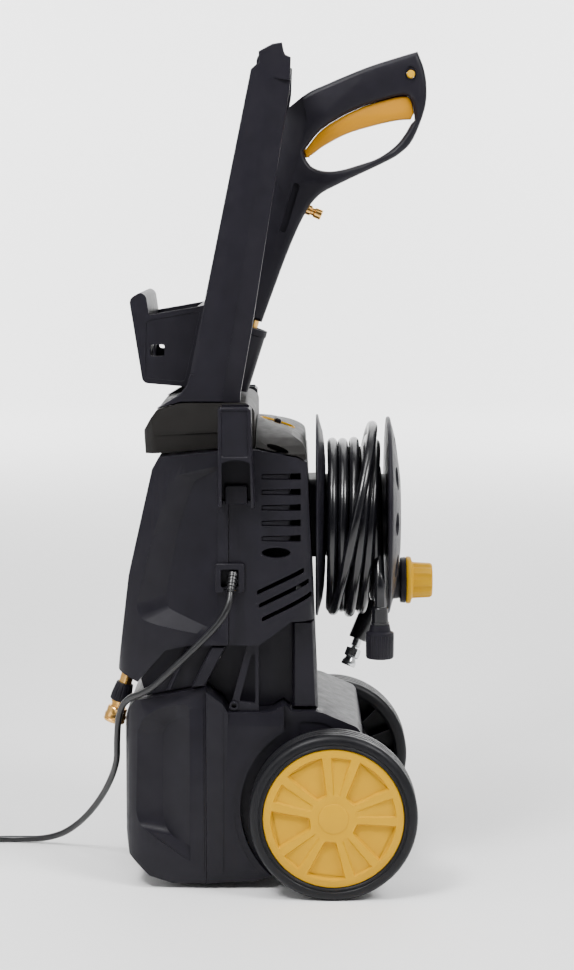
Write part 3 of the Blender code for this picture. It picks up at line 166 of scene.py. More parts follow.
SLOT_OF = {row["node"]: row["material_slot"] for row in frame["record"]["subparts"]}
SIDES = (("left", -1), ("right", 1))


# ---- Shapes ----
OUTSIDE = 0.14
SHARP_ANGLE = 32
PLANES = {
    "side": lambda u, v, w: (u, w, v),
    "plan": lambda u, v, w: (u, v, w),
    "front": lambda u, v, w: (w, u, v),
}


def new_object(name, shape):
    mesh = bpy.data.meshes.new(name)
    bmesh.ops.recalc_face_normals(shape, faces=shape.faces)
    shape.to_mesh(mesh)
    shape.free()
    made = bpy.data.objects.new(name, mesh)
    bpy.context.scene.collection.objects.link(made)
    return made


def layered(name, layers, plane="side"):
    """A solid through rings. A layer is its level, a number or a function of (u, v), and its outlines."""
    shape = bmesh.new()
    place = PLANES[plane]
    rings = []
    for level, loops in layers:
        height = level if callable(level) else lambda u, v, level=level: level
        rings.append([[shape.verts.new(place(u, v, height(u, v))) for u, v in loop] for loop in loops])
    for low, high in zip(rings, rings[1:]):
        for a, b in zip(low, high):
            for i in range(len(a)):
                j = (i + 1) % len(a)
                shape.faces.new((a[i], a[j], b[j], b[i]))
    for ring in (rings[0], rings[-1]):
        if len(ring) == 1:
            shape.faces.new(ring[0])
            continue
        edges = [shape.edges.get((loop[i - 1], loop[i])) for loop in ring for i in range(len(loop))]
        bmesh.ops.triangle_fill(shape, use_beauty=True, edges=edges)
    return new_object(name, shape)


def prism(name, outline, plane, low, high, *holes):
    low, high = sorted((low, high))
    return layered(name, [(low, [outline, *holes]), (high, [outline, *holes])], plane)


def rect(u0, v0, u1, v1):
    return [(u0, v0), (u1, v0), (u1, v1), (u0, v1)]


def flank(name, sign, outline, low, high):
    """A prism on one side of the machine, from |y| = low to |y| = high."""
    return prism(name, outline, "side", sign * low, sign * high)


def slanted(sign, outline, level):
    """A cutter that takes everything outside a slanted plane, |y| = level(u, v), within the outline."""
    return layered("slant", [(sign * OUTSIDE, [outline]), (lambda u, v: sign * level(u, v), [outline])])


def lathe(name, profile, origin, axis, steps=64):
    """A closed profile of (radius, distance along the axis) turned about the axis."""
    shape = bmesh.new()
    rings = []
    for r, d in profile:
        if r < 1e-6:
            rings.append([shape.verts.new((0, 0, d))])
            continue
        angles = [math.tau * i / steps for i in range(steps)]
        rings.append([shape.verts.new((r * math.cos(a), r * math.sin(a), d)) for a in angles])
    pairs = list(zip(rings, rings[1:])) + ([(rings[-1], rings[0])] if len(rings[0]) > 1 else [])
    for a, b in pairs:
        for i in range(steps):
            j = (i + 1) % steps
            corners = [a[i % len(a)], a[j % len(a)], b[j % len(b)], b[i % len(b)]]
            corners = list(dict.fromkeys(corners))
            if len(corners) > 2:
                shape.faces.new(corners)
    turn = Vector(axis).to_track_quat("Z", "Y").to_matrix().to_4x4()
    shape.transform(Matrix.Translation(Vector(origin)) @ turn)
    return new_object(name, shape)


def rod(name, start, end, radius, end_radius=None, steps=32):
    start, end = Vector(start), Vector(end)
    far = radius if end_radius is None else end_radius
    length = (end - start).length
    return lathe(name, [(0, 0), (radius, 0), (far, length), (0, length)], start, end - start, steps)


def combine(obj, operation, *others):
    """Cuts, joins or intersects a piece with helpers, which are used up."""
    for other in others:
        modifier = obj.modifiers.new("combine", "BOOLEAN")
        modifier.operation = operation
        modifier.solver = "EXACT"
        modifier.object = other
    bpy.context.view_layer.update()
    mesh = bpy.data.meshes.new_from_object(obj.evaluated_get(bpy.context.evaluated_depsgraph_get()))
    obj.modifiers.clear()
    obj.data = mesh
    for other in others:
        bpy.data.objects.remove(other)
    shape = bmesh.new()
    shape.from_mesh(mesh)
    bmesh.ops.remove_doubles(shape, verts=shape.verts, dist=2e-6)
    bmesh.ops.dissolve_limit(
        shape, angle_limit=math.radians(0.4), verts=shape.verts, edges=shape.edges, delimit={"NORMAL"}
    )
    shape.to_mesh(mesh)
    shape.free()
    return obj


def cut(obj, *others):
    return combine(obj, "DIFFERENCE", *others)


def merged(name, *objs):
    """Several solids as one piece, without a Boolean."""
    shape = bmesh.new()
    for obj in objs:
        shape.from_mesh(obj.data)
        bpy.data.objects.remove(obj)
    return new_object(name, shape)


def inset(points, amount):
    """The outline moved inwards by the amount, with mitred corners."""
    area = sum(a[0] * b[1] - b[0] * a[1] for a, b in zip(points, points[1:] + points[:1]))
    side = 1 if area > 0 else -1
    moved = []
    for before, here, after in zip(points[-1:] + points[:-1], points, points[1:] + points[:1]):
        first = (Vector(here) - Vector(before)).normalized()
        second = (Vector(after) - Vector(here)).normalized()
        first = Vector((-first.y, first.x)) * side
        second = Vector((-second.y, second.x)) * side
        corner = (first + second) / max(0.4, 1 + first.dot(second))
        moved.append(tuple(Vector(here) + corner * amount))
    return moved


def filleted(points, radius, count=5, only=None):
    """The outline with its corners rounded."""
    rounded = []
    for i, here in enumerate(points):
        if only is not None and i not in only:
            rounded.append(here)
            continue
        before, here, after = Vector(points[i - 1]), Vector(here), Vector(points[(i + 1) % len(points)])
        reach = min(radius, (before - here).length * 0.45, (after - here).length * 0.45)
        a = here + (before - here).normalized() * reach
        b = here + (after - here).normalized() * reach
        for k in range(count + 1):
            t = k / count
            rounded.append(tuple(a * (1 - t) ** 2 + here * 2 * t * (1 - t) + b * t**2))
    return rounded


def between(p0, p1, p2, p3, t):
    """A point on the smooth curve from p1 to p2."""
    return 0.5 * (
        2 * p1 + (p2 - p0) * t + (2 * p0 - 5 * p1 + 4 * p2 - p3) * t**2 + (3 * p1 - p0 - 3 * p2 + p3) * t**3
    )


def smooth_loop(points, per=4, sharp=()):
    """A closed smooth outline through the points, broken at the sharp ones."""
    count = len(points)
    flat = [Vector(p) for p in points]
    out = []
    for i in range(count):
        a, b = flat[i], flat[(i + 1) % count]
        before = a * 2 - b if i in sharp else flat[i - 1]
        after = b * 2 - a if (i + 1) % count in sharp else flat[(i + 2) % count]
        out += [tuple(between(before, a, b, after, k / per)) for k in range(per)]
    return out


def smooth_route(points, spacing):
    """Points evenly spaced on a smooth open curve through the given points."""
    given = [Vector(p) for p in points]
    ends = [given[0] * 2 - given[1]] + given + [given[-1] * 2 - given[-2]]
    fine = []
    for p0, p1, p2, p3 in zip(ends, ends[1:], ends[2:], ends[3:]):
        fine += [between(p0, p1, p2, p3, i / 24) for i in range(24)]
    fine.append(given[-1])
    total = sum((b - a).length for a, b in zip(fine, fine[1:]))
    count = max(2, round(total / spacing))
    route, walked, target = [fine[0]], 0.0, total / count
    for a, b in zip(fine, fine[1:]):
        step = (b - a).length
        while walked + step >= target and len(route) < count:
            route.append(a.lerp(b, (target - walked) / step))
            target += total / count
        walked += step
    return route + [fine[-1]]


def ellipse(centre, a, b, tilt=0.0, count=28):
    turn = Matrix.Rotation(tilt, 2)
    angles = [math.tau * i / count for i in range(count)]
    return [tuple(Vector(centre) + turn @ Vector((a * math.cos(t), b * math.sin(t)))) for t in angles]


def cable(name, points, radius, resolution=6):
    """A cord or hose as one open smooth line."""
    curve = bpy.data.curves.new(name, "CURVE")
    curve.dimensions = "3D"
    curve.bevel_depth = radius
    curve.bevel_resolution = resolution
    curve.use_fill_caps = True
    spline = curve.splines.new("POLY")
    spline.points.add(len(points) - 1)
    for target, point in zip(spline.points, points):
        target.co = (*point, 1)
    spline.use_smooth = True
    made = bpy.data.objects.new(name, curve)
    bpy.context.scene.collection.objects.link(made)
    return made


def finish(obj, name, *nodes, bevel=0.0, segments=2, angle=SHARP_ANGLE, slot=None, body=None):
    """Names a piece, shades it, rounds its edges, and lets it stand for its CAD nodes on their body."""
    obj.name = name
    obj.data.name = name
    slot = slot or SLOT_OF[nodes[0]]
    obj.data.materials.clear()
    obj.data.materials.append(LOOKS[slot])
    if obj.type == "MESH":
        obj.data.shade_smooth()
        obj.data.set_sharp_from_angle(angle=math.radians(angle))
    if bevel:
        edge = obj.modifiers.new("edges", "BEVEL")
        edge.width = bevel
        edge.segments = segments
        edge.limit_method = "ANGLE"
        edge.angle_limit = math.radians(angle)
        edge.harden_normals = True
    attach(obj, body or BODY_OF[nodes[0]])
    if nodes:
        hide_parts(*nodes)
    return obj


# ---- Mains cord: 5 m long and 7 mm thick, the part outside the view wound into a coil with its plug ----
CORD_RADIUS = 0.0035
CORD_ROUTE = [
    (-0.0372, -0.135, 0.3205),
    (-0.0385, -0.1405, 0.3112),
    (-0.043, -0.144, 0.3),
    (-0.052, -0.145, 0.287),
    (-0.0645, -0.1445, 0.2735),
    (-0.079, -0.1425, 0.259),
    (-0.0945, -0.1385, 0.2435),
    (-0.109, -0.1325, 0.229),
    (-0.122, -0.124, 0.2165),
    (-0.1345, -0.1155, 0.209),
    (-0.145, -0.106, 0.203),
    (-0.154, -0.0965, 0.192),
    (-0.159, -0.088, 0.174),
    (-0.1615, -0.076, 0.15),
    (-0.164, -0.059, 0.123),
    (-0.174, -0.035, 0.094),
    (-0.19, -0.007, 0.064),
    (-0.21, 0.02, 0.037),
    (-0.233, 0.042, 0.0165),
    (-0.257, 0.055, 0.0065),
    (-0.282, 0.061, 0.004),
    (-0.308, 0.061, 0.0038),
    (-0.334, 0.053, 0.0038),
    (-0.354, 0.038, 0.0038),
    (-0.373, 0.029, 0.0038),
]
COIL_PITCH = 0.0069
COIL_LAYERS = (0.0038, 0.0108, 0.0178, 0.0248)
COIL_TURN_STEPS = 28
TURNS_PER_LAYER = 4
CLIMB_TURNS = 0.4


def coil_centre():
    low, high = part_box("power_cord_coil")
    return Vector(((low.x + high.x) / 2, (low.y + high.y) / 2, 0.0)), (high.x - low.x) / 2 - CORD_RADIUS


def coil_points(turns):
    """Turns side by side, winding in, up a layer, out again, and off to the plug at the end."""
    centre, outer = coil_centre()
    entry = Vector(CORD_ROUTE[-1]) - centre
    start = math.atan2(entry.y, entry.x)
    top_layer = len(COIL_LAYERS) - 1
    flat_turns = TURNS_PER_LAYER - CLIMB_TURNS
    points = []
    total = round(turns * COIL_TURN_STEPS)
    for i in range(1, total + 1):
        turn = i / COIL_TURN_STEPS
        layer = min(int(turn / TURNS_PER_LAYER), top_layer)
        within = turn - TURNS_PER_LAYER * layer
        inwards = layer % 2 == 0
        step = min(3.0, within * 3 / flat_turns)
        radius = outer - COIL_PITCH * (step if inwards else 3.0 - step)
        rise = max(0.0, (within - flat_turns) / CLIMB_TURNS) if layer < top_layer else 0.0
        z = COIL_LAYERS[layer] + (COIL_LAYERS[min(layer + 1, top_layer)] - COIL_LAYERS[layer]) * rise
        if turn < 0.35:
            radius = entry.length + (radius - entry.length) * math.sin(math.pi / 2 * turn / 0.35)
        leaving = max(0.0, 1 - (turns - turn) / 0.4)
        radius += (outer + 0.0092 - radius) * leaving
        z += (0.0144 - z) * leaving**0.7
        angle = start - math.tau * turn
        points.append(centre + Vector((radius * math.cos(angle), radius * math.sin(angle), z)))
    return points


def add_mains_cord():
    centre, outer = coil_centre()
    entry = Vector(CORD_ROUTE[-1]) - centre
    start = math.atan2(entry.y, entry.x)
    part_turn = ((start - math.pi) % math.tau) / math.tau
    seen = smooth_route(CORD_ROUTE, 0.009)
    points = seen + coil_points(14 + part_turn)
    cord = cable("mains_cord", points, CORD_RADIUS)
    finish(cord, "mains_cord", "power_cord", "power_cord_coil")

    relief_top = Vector((-0.0347, -0.124, 0.339))
    route_start = Vector(CORD_ROUTE[0])
    axis = (route_start - relief_top).normalized()
    length = (route_start - relief_top).length - 0.0003
    profile = [(0, 0), (0.0058, 0)]
    ribs = 5
    for i in range(ribs):
        at = length * (0.1 + 0.86 * i / ribs)
        wide = 0.0058 - 0.0014 * i / ribs
        profile += [(wide, at), (wide, at + 0.002)]
        profile += [(wide - 0.001, at + 0.0024), (wide - 0.001, at + 0.0034)]
    profile += [(0.0043, length), (0, length)]
    relief = finish(lathe("relief", profile, relief_top, axis, 32), "cord_relief", "strain_relief")

    plug = add_plug()


def add_plug():
    """A round moulded plug with a ribbed boot and two pins, lying beside the coil."""
    centre, outer = coil_centre()
    axis = Vector((-0.2, 0.98, 0.0)).normalized()
    start = centre + Vector((-outer - 0.009, 0.0, 0.0144))
    profile = [(0, 0.0004), (0.0043, 0.0004)]
    for i in range(4):
        at = 0.003 + 0.0032 * i
        profile += [(0.0047 + 0.0003 * i, at), (0.0047 + 0.0003 * i, at + 0.0016)]
        profile += [(0.004 + 0.0003 * i, at + 0.0019), (0.004 + 0.0003 * i, at + 0.0029)]
    profile += [(0.0065, 0.0165), (0.0112, 0.0195), (0.0134, 0.0225), (0.0139, 0.026), (0.0139, 0.0385),
                (0.0134, 0.0408), (0.0118, 0.0418), (0, 0.0418)]
    plug = finish(lathe("plug", profile, start, axis, 48), "mains_plug", "power_plug")
    across = Vector((-axis.y, axis.x, 0))
    for side, sign in (("a", -1), ("b", 1)):
        root = start + axis * 0.0412 + across * 0.0095 * sign
        profile = [(0, 0), (0.0024, 0), (0.0024, 0.016), (0.0018, 0.0182), (0, 0.0188)]
        pin = finish(lathe("pin", profile, root, axis, 24), "plug_pin_" + side, slot="steel", body="chassis")
        pin.parent = plug
        pin.matrix_parent_inverse = plug.matrix_world.inverted()
    return plug


add_mains_cord()


# ---- High pressure hose: about 8 m of 11 mm hose, wound on the reel with both ends hanging ----
HOSE_RADIUS = 0.0055
# Each turn: the radius of its middle line, x of its middle, how far its top leans to +X, z of its centre.
HOSE_TURNS = (
    [(0.058, 0.117 - 0.0135 * i, 0.0, 0.378) for i in range(3)]
    + [(0.069, 0.07 + 0.0125 * i, 0.001, 0.377) for i in range(4)]
    + [(0.0795, 0.115 - 0.0122 * i, -0.001, 0.3755) for i in range(4)]
    + [(0.09, 0.0687, 0.0008, 0.374), (0.0898, 0.0803, 0.0006, 0.3738), (0.0903, 0.092, 0.001, 0.3745)]
    + [(0.0905, 0.1085, 0.0075, 0.3725), (0.095, 0.099, 0.011, 0.3735), (0.101, 0.0915, 0.0215, 0.3815)]
    + [(0.092, 0.113, 0.007, 0.3735)]
)
TURN_STEPS = 48
HOSE_FIRST_TURN = 0.1
HOSE_LAST_TURN = len(HOSE_TURNS) - 1.36


def hose_point(turn):
    """A point of the winding: a turn starts at the near side, goes over the top and back under the drum."""
    first = min(int(turn), len(HOSE_TURNS) - 2)
    share = turn - first
    share = max(0.0, min(1.0, (share - 0.3) / 0.45))
    share = share * share * (3 - 2 * share)
    radius, x, lean, z = [a + (b - a) * share for a, b in zip(HOSE_TURNS[first], HOSE_TURNS[first + 1])]
    angle = math.pi - math.tau * turn
    up = math.sin(angle)
    return Vector((x + lean * up, radius * math.cos(angle), z + radius * up))


def add_hose():
    nut_low, nut_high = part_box("hose_end_pump")
    rise = Vector((0.1195, (nut_low.y + nut_high.y) / 2, 0.2985))
    start = [rise, rise + Vector((0, 0, 0.012)), rise + Vector((-0.0003, 0, 0.026))]
    start += [Vector((0.1185, -0.08, 0.342)), Vector((0.1178, -0.065, 0.366))]
    wound = HOSE_LAST_TURN - HOSE_FIRST_TURN
    steps = round(wound * TURN_STEPS / 3)
    winding = [hose_point(HOSE_FIRST_TURN + wound * i / steps) for i in range(steps + 1)]
    low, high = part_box("hose_end_gun")
    top = Vector(((low.x + high.x) / 2, (low.y + high.y) / 2, (low.z + high.z) / 2))
    guard_low, guard_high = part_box("hose_bend_guard")
    middle = (guard_low + guard_high) / 2
    into = (middle - top).normalized()
    finish_points = [top + Vector((0.001, 0.0075, 0.014)), top, middle - into * 0.014]
    route = smooth_route(start + winding + finish_points, 0.0065)
    hose = cable("pressure_hose", route, HOSE_RADIUS, 7)
    finish(hose, "pressure_hose", "hose_coil", "hose_end_gun")
    ends = add_hose_ends(rise)


def add_hose_ends(rise):
    """The ribbed union nut on its stem at one end; the bend sleeve and steel connector at the other."""
    nut_low, nut_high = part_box("hose_nut")
    x, y = (nut_low.x + nut_high.x) / 2, (nut_low.y + nut_high.y) / 2
    stem_top = rise.z - 0.0006
    stem = [
        (0, nut_high.z + 0.0004), (0.0098, nut_high.z + 0.0004), (0.0098, nut_high.z + 0.0024),
        (0.0088, nut_high.z + 0.003), (0.0086, stem_top - 0.001), (0.0078, stem_top), (0, stem_top),
    ]
    stem = finish(lathe("stem", stem, (x, y, 0), (0, 0, 1), 40), "hose_stem", "hose_end_pump")
    profile = [
        (0, nut_low.z + 0.024), (0.0112, nut_low.z + 0.024),
        (0.0112, nut_low.z + 0.0008), (0.0118, nut_low.z),
        (0.014, nut_low.z), (0.0148, nut_low.z + 0.0016), (0.015, nut_high.z - 0.01),
        (0.0146, nut_high.z - 0.0086), (0.0116, nut_high.z - 0.007), (0.0104, nut_high.z - 0.0004),
        (0.0098, nut_high.z), (0, nut_high.z),
    ]
    nut = lathe("nut", profile, (x, y, 0), (0, 0, 1), 96)
    grooves = []
    for i in range(22):
        angle = math.tau * i / 22
        place = Vector((x + 0.0156 * math.cos(angle), y + 0.0156 * math.sin(angle), 0))
        grooves.append(rod("groove", place + Vector((0, 0, nut_low.z - 0.001)),
                           place + Vector((0, 0, nut_high.z - 0.0112)), 0.0013, steps=8))
    nut = finish(cut(nut, merged("grooves", *grooves)), "union_nut", "hose_nut", bevel=0.0002, segments=1)

    low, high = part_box("hose_bend_guard")
    tip_low, tip_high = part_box("gun_connector")
    top = Vector(((low.x + high.x) / 2 + 0.0058, (low.y + high.y) / 2 + 0.0033, high.z - 0.0012))
    down = (Vector(((tip_low.x + tip_high.x) / 2, (tip_low.y + tip_high.y) / 2,
                    (tip_low.z + tip_high.z) / 2)) - top).normalized()
    length = 0.0336
    profile = [(0, 0.0004), (0.006, 0.0004), (0.0092, 0.0012), (0.01, 0.0034), (0.0106, length - 0.002),
               (0.0102, length), (0.0078, length), (0.0074, length - 0.003), (0, length - 0.003)]
    guard = finish(lathe("guard", profile, top, down, 44), "hose_sleeve", "hose_bend_guard")
    start = top + down * (length - 0.0026)
    profile = [(0, 0), (0.005, 0), (0.005, 0.0108), (0.0034, 0.0118), (0.0034, 0.0138), (0, 0.0138)]
    neck = lathe("neck", profile, start, down, 32)
    profile = [(0, 0.0134), (0.0066, 0.0134), (0.0083, 0.0144), (0.0083, 0.0232), (0.007, 0.0242),
               (0, 0.0242)]
    grip = lathe("grip", profile, start, down, 6)
    profile = [(0, 0.0238), (0.0056, 0.0238), (0.0062, 0.0262), (0.0078, 0.029), (0.0082, 0.0326),
               (0.0076, 0.034), (0.0046, 0.034), (0.0042, 0.0334), (0.0042, 0.029), (0, 0.029)]
    flare = lathe("flare", profile, start, down, 40)
    connector = finish(merged("connector", neck, grip, flare), "connector", "gun_connector", bevel=0.0003)
    return [stem, nut, guard, connector]


add_hose()


# ---- Sizes taken from the CAD model ----
GAP = 0.0004
WALL = 0.003
BODY_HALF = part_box("upper_front_cover")[1].y
UPPER_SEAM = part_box("upper_front_cover")[1].x
UPPER_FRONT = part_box("upper_front_cover")[0].x
LOWER_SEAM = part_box("lower_front_cover")[1].x
LOWER_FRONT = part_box("lower_front_cover")[0].x
NOSE_HALF = 0.085
COVER_BOTTOM = 0.263
HOOD_BOTTOM = 0.4695
BASE_TOP = 0.191
NECK_TOP = 0.2615
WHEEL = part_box("wheel_left")
AXLE = Vector(((WHEEL[0].x + WHEEL[1].x) / 2, 0, (WHEEL[0].z + WHEEL[1].z) / 2))
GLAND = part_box("cord_gland")
GLAND_LEFT, GLAND_LOW, GLAND_RIGHT, GLAND_HIGH = -0.0505, 0.322, -0.026, 0.347


def gland_hole():
    outline = rect(GLAND_LEFT, GLAND_LOW, GLAND_RIGHT, GLAND_HIGH)
    return prism("gland_hole", outline, "side", GLAND[0].y - 0.01, GLAND[1].y + 0.003)


def pump_well():
    low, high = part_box("pump")
    middle, half = (low.x + high.x) / 2, 0.033
    return prism("pump_well", rect(middle - half, 0.22, middle + half, 0.3), "side", -half, half)


# ---- Housings ----
def nose_half_at(x, shoulder, nose, half=BODY_HALF, nose_half=NOSE_HALF, exponent=2.4):
    """Half width of a cover where its plan rounds off towards the nose."""
    along = min(1.0, max(0.0, (x - shoulder) / (nose - shoulder)))
    return nose_half + (half - nose_half) * (1 - along**exponent) ** (1 / exponent)


def nosed_plan(open_x, shoulder, nose, half=BODY_HALF, nose_half=NOSE_HALF, exponent=2.4, count=14):
    """A plan that is straight from the open end to the shoulder and rounds off to the flat nose."""
    side = []
    for i in range(count + 1):
        angle = math.pi / 2 * i / count
        x = shoulder + (nose - shoulder) * math.sin(angle) ** (2 / exponent)
        side.append((x, nose_half_at(x, shoulder, nose, half, nose_half, exponent)))
    return [(open_x, -half)] + [(x, -y) for x, y in side] + side[::-1] + [(open_x, half)]


def housing(name, side, plan, open_x, hollow_half):
    """A moulded shell from a side outline and a plan, open at open_x."""
    beyond = math.copysign(0.02, open_x - plan[len(plan) // 2][0])

    def opened(points):
        return [(x + beyond, z) if abs(x - open_x) < 1.5 * WALL else (x, z) for x, z in inset(points, WALL)]

    body = prism(name, side, "side", -0.2, 0.2)
    combine(body, "INTERSECT", prism("plan", plan, "plan", -0.1, 0.9))
    hollow = prism("hollow", opened(side), "side", -hollow_half, hollow_half)
    combine(hollow, "INTERSECT", prism("hollow_plan", opened(plan), "plan", -0.1, 0.9))
    return cut(body, hollow)


def recess(sign, surface, floor, outer, inner):
    """A cutter for a sunk panel, whose walls slope from the outer outline to the inner on the floor."""
    return layered("recess", [
        (sign * OUTSIDE, [outer]),
        (lambda u, v: sign * surface(u, v), [outer]),
        (lambda u, v: sign * floor(u, v), [inner]),
    ])


def slope(near, far, near_x, far_x):
    """|y| that changes evenly from one x to another."""
    return lambda u, v: near + (far - near) * (u - near_x) / (far_x - near_x)


def add_lower_front_cover():
    side = [(LOWER_SEAM, 0.006), (-0.1, 0.006), (-0.124, 0.014), (-0.147, 0.034), (LOWER_FRONT, 0.06),
            (LOWER_FRONT, 0.178), (-0.147, 0.192), (-0.139, 0.2025), (LOWER_SEAM, 0.217)]
    plan = nosed_plan(LOWER_SEAM, -0.095, LOWER_FRONT)
    body = housing("lower_front_cover", side, plan, LOWER_SEAM, 0.1045)
    outer = [(-0.081, 0.2095), (-0.104, 0.204), (-0.129, 0.185), (-0.1362, 0.172), (-0.139, 0.081),
             (-0.134, 0.0675), (-0.081, 0.0315)]
    inner = [(-0.081, 0.1876), (-0.099, 0.181), (-0.107, 0.174), (-0.11, 0.1665), (-0.111, 0.0787),
             (-0.1055, 0.059), (-0.081, 0.0475)]
    corners = (1, 2, 3, 4, 5)
    floor = slope(0.1236, 0.108, -0.081, -0.11)
    above = [(-0.16, 0.179), (-0.05, 0.199), (-0.05, 0.24), (-0.16, 0.24)]
    below = [(-0.16, 0.0), (-0.05, 0.0), (-0.05, 0.02), (-0.16, 0.034)]
    seam = rect(-0.0665, 0.0, LOWER_SEAM + 0.01, 0.23)
    face = BODY_HALF + 0.0002
    for sign in (-1, 1):
        panel = recess(sign, lambda u, v: nose_half_at(u, -0.095, LOWER_FRONT), floor,
                       filleted(outer, 0.012, 6, corners), filleted(inner, 0.009, 6, corners))
        strip = flank("strip", sign, seam, BODY_HALF - 0.0012, OUTSIDE)
        shoulder = slanted(sign, above, lambda u, v: face - (v - 0.199 - (u + 0.05) * 0.18) * 0.42)
        skirt = slanted(sign, below, lambda u, v: face - (0.02 - (u + 0.05) * 0.127 - v) * 0.3)
        cut(body, panel, strip, shoulder, skirt)
    finish(body, "lower_front_cover_skin", "lower_front_cover", bevel=0.0008)


def add_base_housing():
    seam = LOWER_SEAM + GAP
    side = [(seam, 0.006), (-0.012, 0.009), (0.03, 0.022), (0.092, 0.036), (0.104, 0.055), (0.104, 0.14),
            (0.098, 0.172), (0.056, 0.19), (0.026, 0.19), (0.018, 0.199), (0.005, BASE_TOP),
            (-0.041, BASE_TOP), (-0.047, 0.201), (seam, 0.2135)]
    shaped = filleted(side, 0.006, 4, (2, 3, 4, 5, 6, 7, 9, 10))
    body = prism("base_housing", shaped, "side", -BODY_HALF, BODY_HALF)
    inner = [(x - 0.02, z) if abs(x - seam) < 1.5 * WALL else (x, z) for x, z in inset(side, WALL)]
    cut(body, prism("hollow", inner, "side", -0.109, 0.109))
    inner_face = BODY_HALF - 0.001
    above = [(-0.0405, 0.176), (0.012, 0.176), (0.03, 0.186), (0.03, 0.21), (-0.0405, 0.21)]
    below = [(-0.07, 0.0), (0.02, 0.0), (0.02, 0.025), (-0.07, 0.0205)]

    def around_axle(name, low, high, radius):
        return rod(name, (AXLE.x, low, AXLE.z), (AXLE.x, high, AXLE.z), radius, steps=96)

    for sign in (-1, 1):
        start, end = sorted((sign * 0.112, sign * (BODY_HALF + 0.02)))
        arch = around_axle("arch", start, end, 0.098)
        cut(body, arch, prism("behind", rect(0.018, 0, 0.3, 0.3), "side", start, end))
        lip = around_axle("lip", sign * (BODY_HALF - 0.0014), sign * OUTSIDE, 0.1045)
        face = flank("face", sign, rect(-0.046, 0.0, 0.03, 0.21), inner_face, OUTSIDE)
        ledge = slanted(sign, above, lambda u, v: inner_face + 0.0002 - (v - 0.176) * 0.2)
        skirt = slanted(sign, below,
                        lambda u, v: BODY_HALF + 0.0002 - (0.0215 + (u + 0.05) * 0.05 - v) * 0.3)
        cut(body, lip, face, ledge, skirt)
        pocket = [(0.034, 0.15), (0.09, 0.142), (0.094, 0.16), (0.06, 0.178), (0.034, 0.18)]
        cut(body, flank("fender_panel", sign, filleted(pocket, 0.005, 3), 0.1108, 0.13))
    cut(body, rod("axle_hole", (AXLE.x, -OUTSIDE, AXLE.z), (AXLE.x, OUTSIDE, AXLE.z), 0.0063))
    finish(body, "base_skin", "base_housing", bevel=0.0007)


def add_neck():
    half = 0.106
    side = [(-0.128, 0.206), (LOWER_SEAM - GAP, 0.2185), (UPPER_SEAM - 0.002, NECK_TOP), (-0.078, NECK_TOP),
            (-0.1065, 0.2565), (-0.133, 0.2235)]
    body = prism("neck_cover", side, "side", -half, half)
    band = [(-0.079, 0.2176), (-0.0648, 0.2196), (-0.043, 0.2612), (-0.057, 0.2612)]
    rib = [(-0.106, 0.212), (-0.101, 0.2128), (-0.08, 0.2594), (-0.085, 0.2586)]
    for sign in (-1, 1):
        for outline, proud in ((band, 0.0165), (rib, 0.008)):
            block = layered("band", [(sign * 0.1, [outline]), (sign * (half + proud - 0.0012), [outline]),
                                     (sign * (half + proud), [inset(outline, 0.0014)])])
            combine(body, "UNION", block)
    cut(body, prism("neck_inside", inset(side, WALL), "side", 0.004 - half, half - 0.004))
    cut(body, pump_well())
    finish(body, "neck_skin", "neck_cover", bevel=0.0006)


def inlet_room():
    low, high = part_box("inlet_collar")
    centre = (low + high) / 2
    tilt = Vector((0.289, 0, 0.957))
    return rod("inlet_room", centre, centre + tilt * 0.11, max(high.y - low.y, 0.024) / 2 + 0.0015, steps=32)


def add_upper_front_cover():
    side = [(UPPER_SEAM, COVER_BOTTOM), (UPPER_SEAM, HOOD_BOTTOM - 0.001), (-0.052, HOOD_BOTTOM - 0.003),
            (-0.112, 0.4605), (-0.119, 0.448), (-0.145, 0.335), (UPPER_FRONT, 0.232), (-0.136, 0.2225),
            (-0.106, 0.2575), (-0.078, COVER_BOTTOM)]
    plan = nosed_plan(UPPER_SEAM, -0.085, UPPER_FRONT)
    body = housing("upper_front_cover", side, plan, UPPER_SEAM, 0.104)
    outer = [(-0.051, 0.452), (-0.094, 0.442), (-0.101, 0.427), (-0.116, 0.388), (-0.137, 0.303),
             (-0.132, 0.29), (-0.118, 0.285), (-0.07, 0.275), (-0.051, 0.272)]
    inner = [(-0.051, 0.447), (-0.075, 0.436), (-0.08, 0.424), (-0.09, 0.395), (-0.107, 0.311),
             (-0.104, 0.301), (-0.097, 0.297), (-0.065, 0.283), (-0.051, 0.279)]
    corners = tuple(range(1, 8))
    floor = slope(0.1238, 0.1085, -0.051, -0.107)
    crease = [(-0.17, 0.279), (-0.03, 0.261), (-0.03, 0.2), (-0.17, 0.2)]
    face = BODY_HALF + 0.0002
    for sign in (-1, 1):
        panel = recess(sign, lambda u, v: nose_half_at(u, -0.085, UPPER_FRONT), floor,
                       filleted(outer, 0.01, 6, corners), filleted(inner, 0.007, 6, corners))
        chin = slanted(sign, crease, lambda u, v: face - (0.261 - (u + 0.03) * 0.1286 - v) * 0.16)
        cut(body, panel, chin)
    cut(body, gland_hole(), pump_well(), inlet_room())
    finish(body, "upper_front_cover_skin", "upper_front_cover", bevel=0.0008)


def rear_face(z):
    """x of the rear cover's rear face at a height."""
    return 0.05 - 0.008 * (z - 0.288) / 0.167


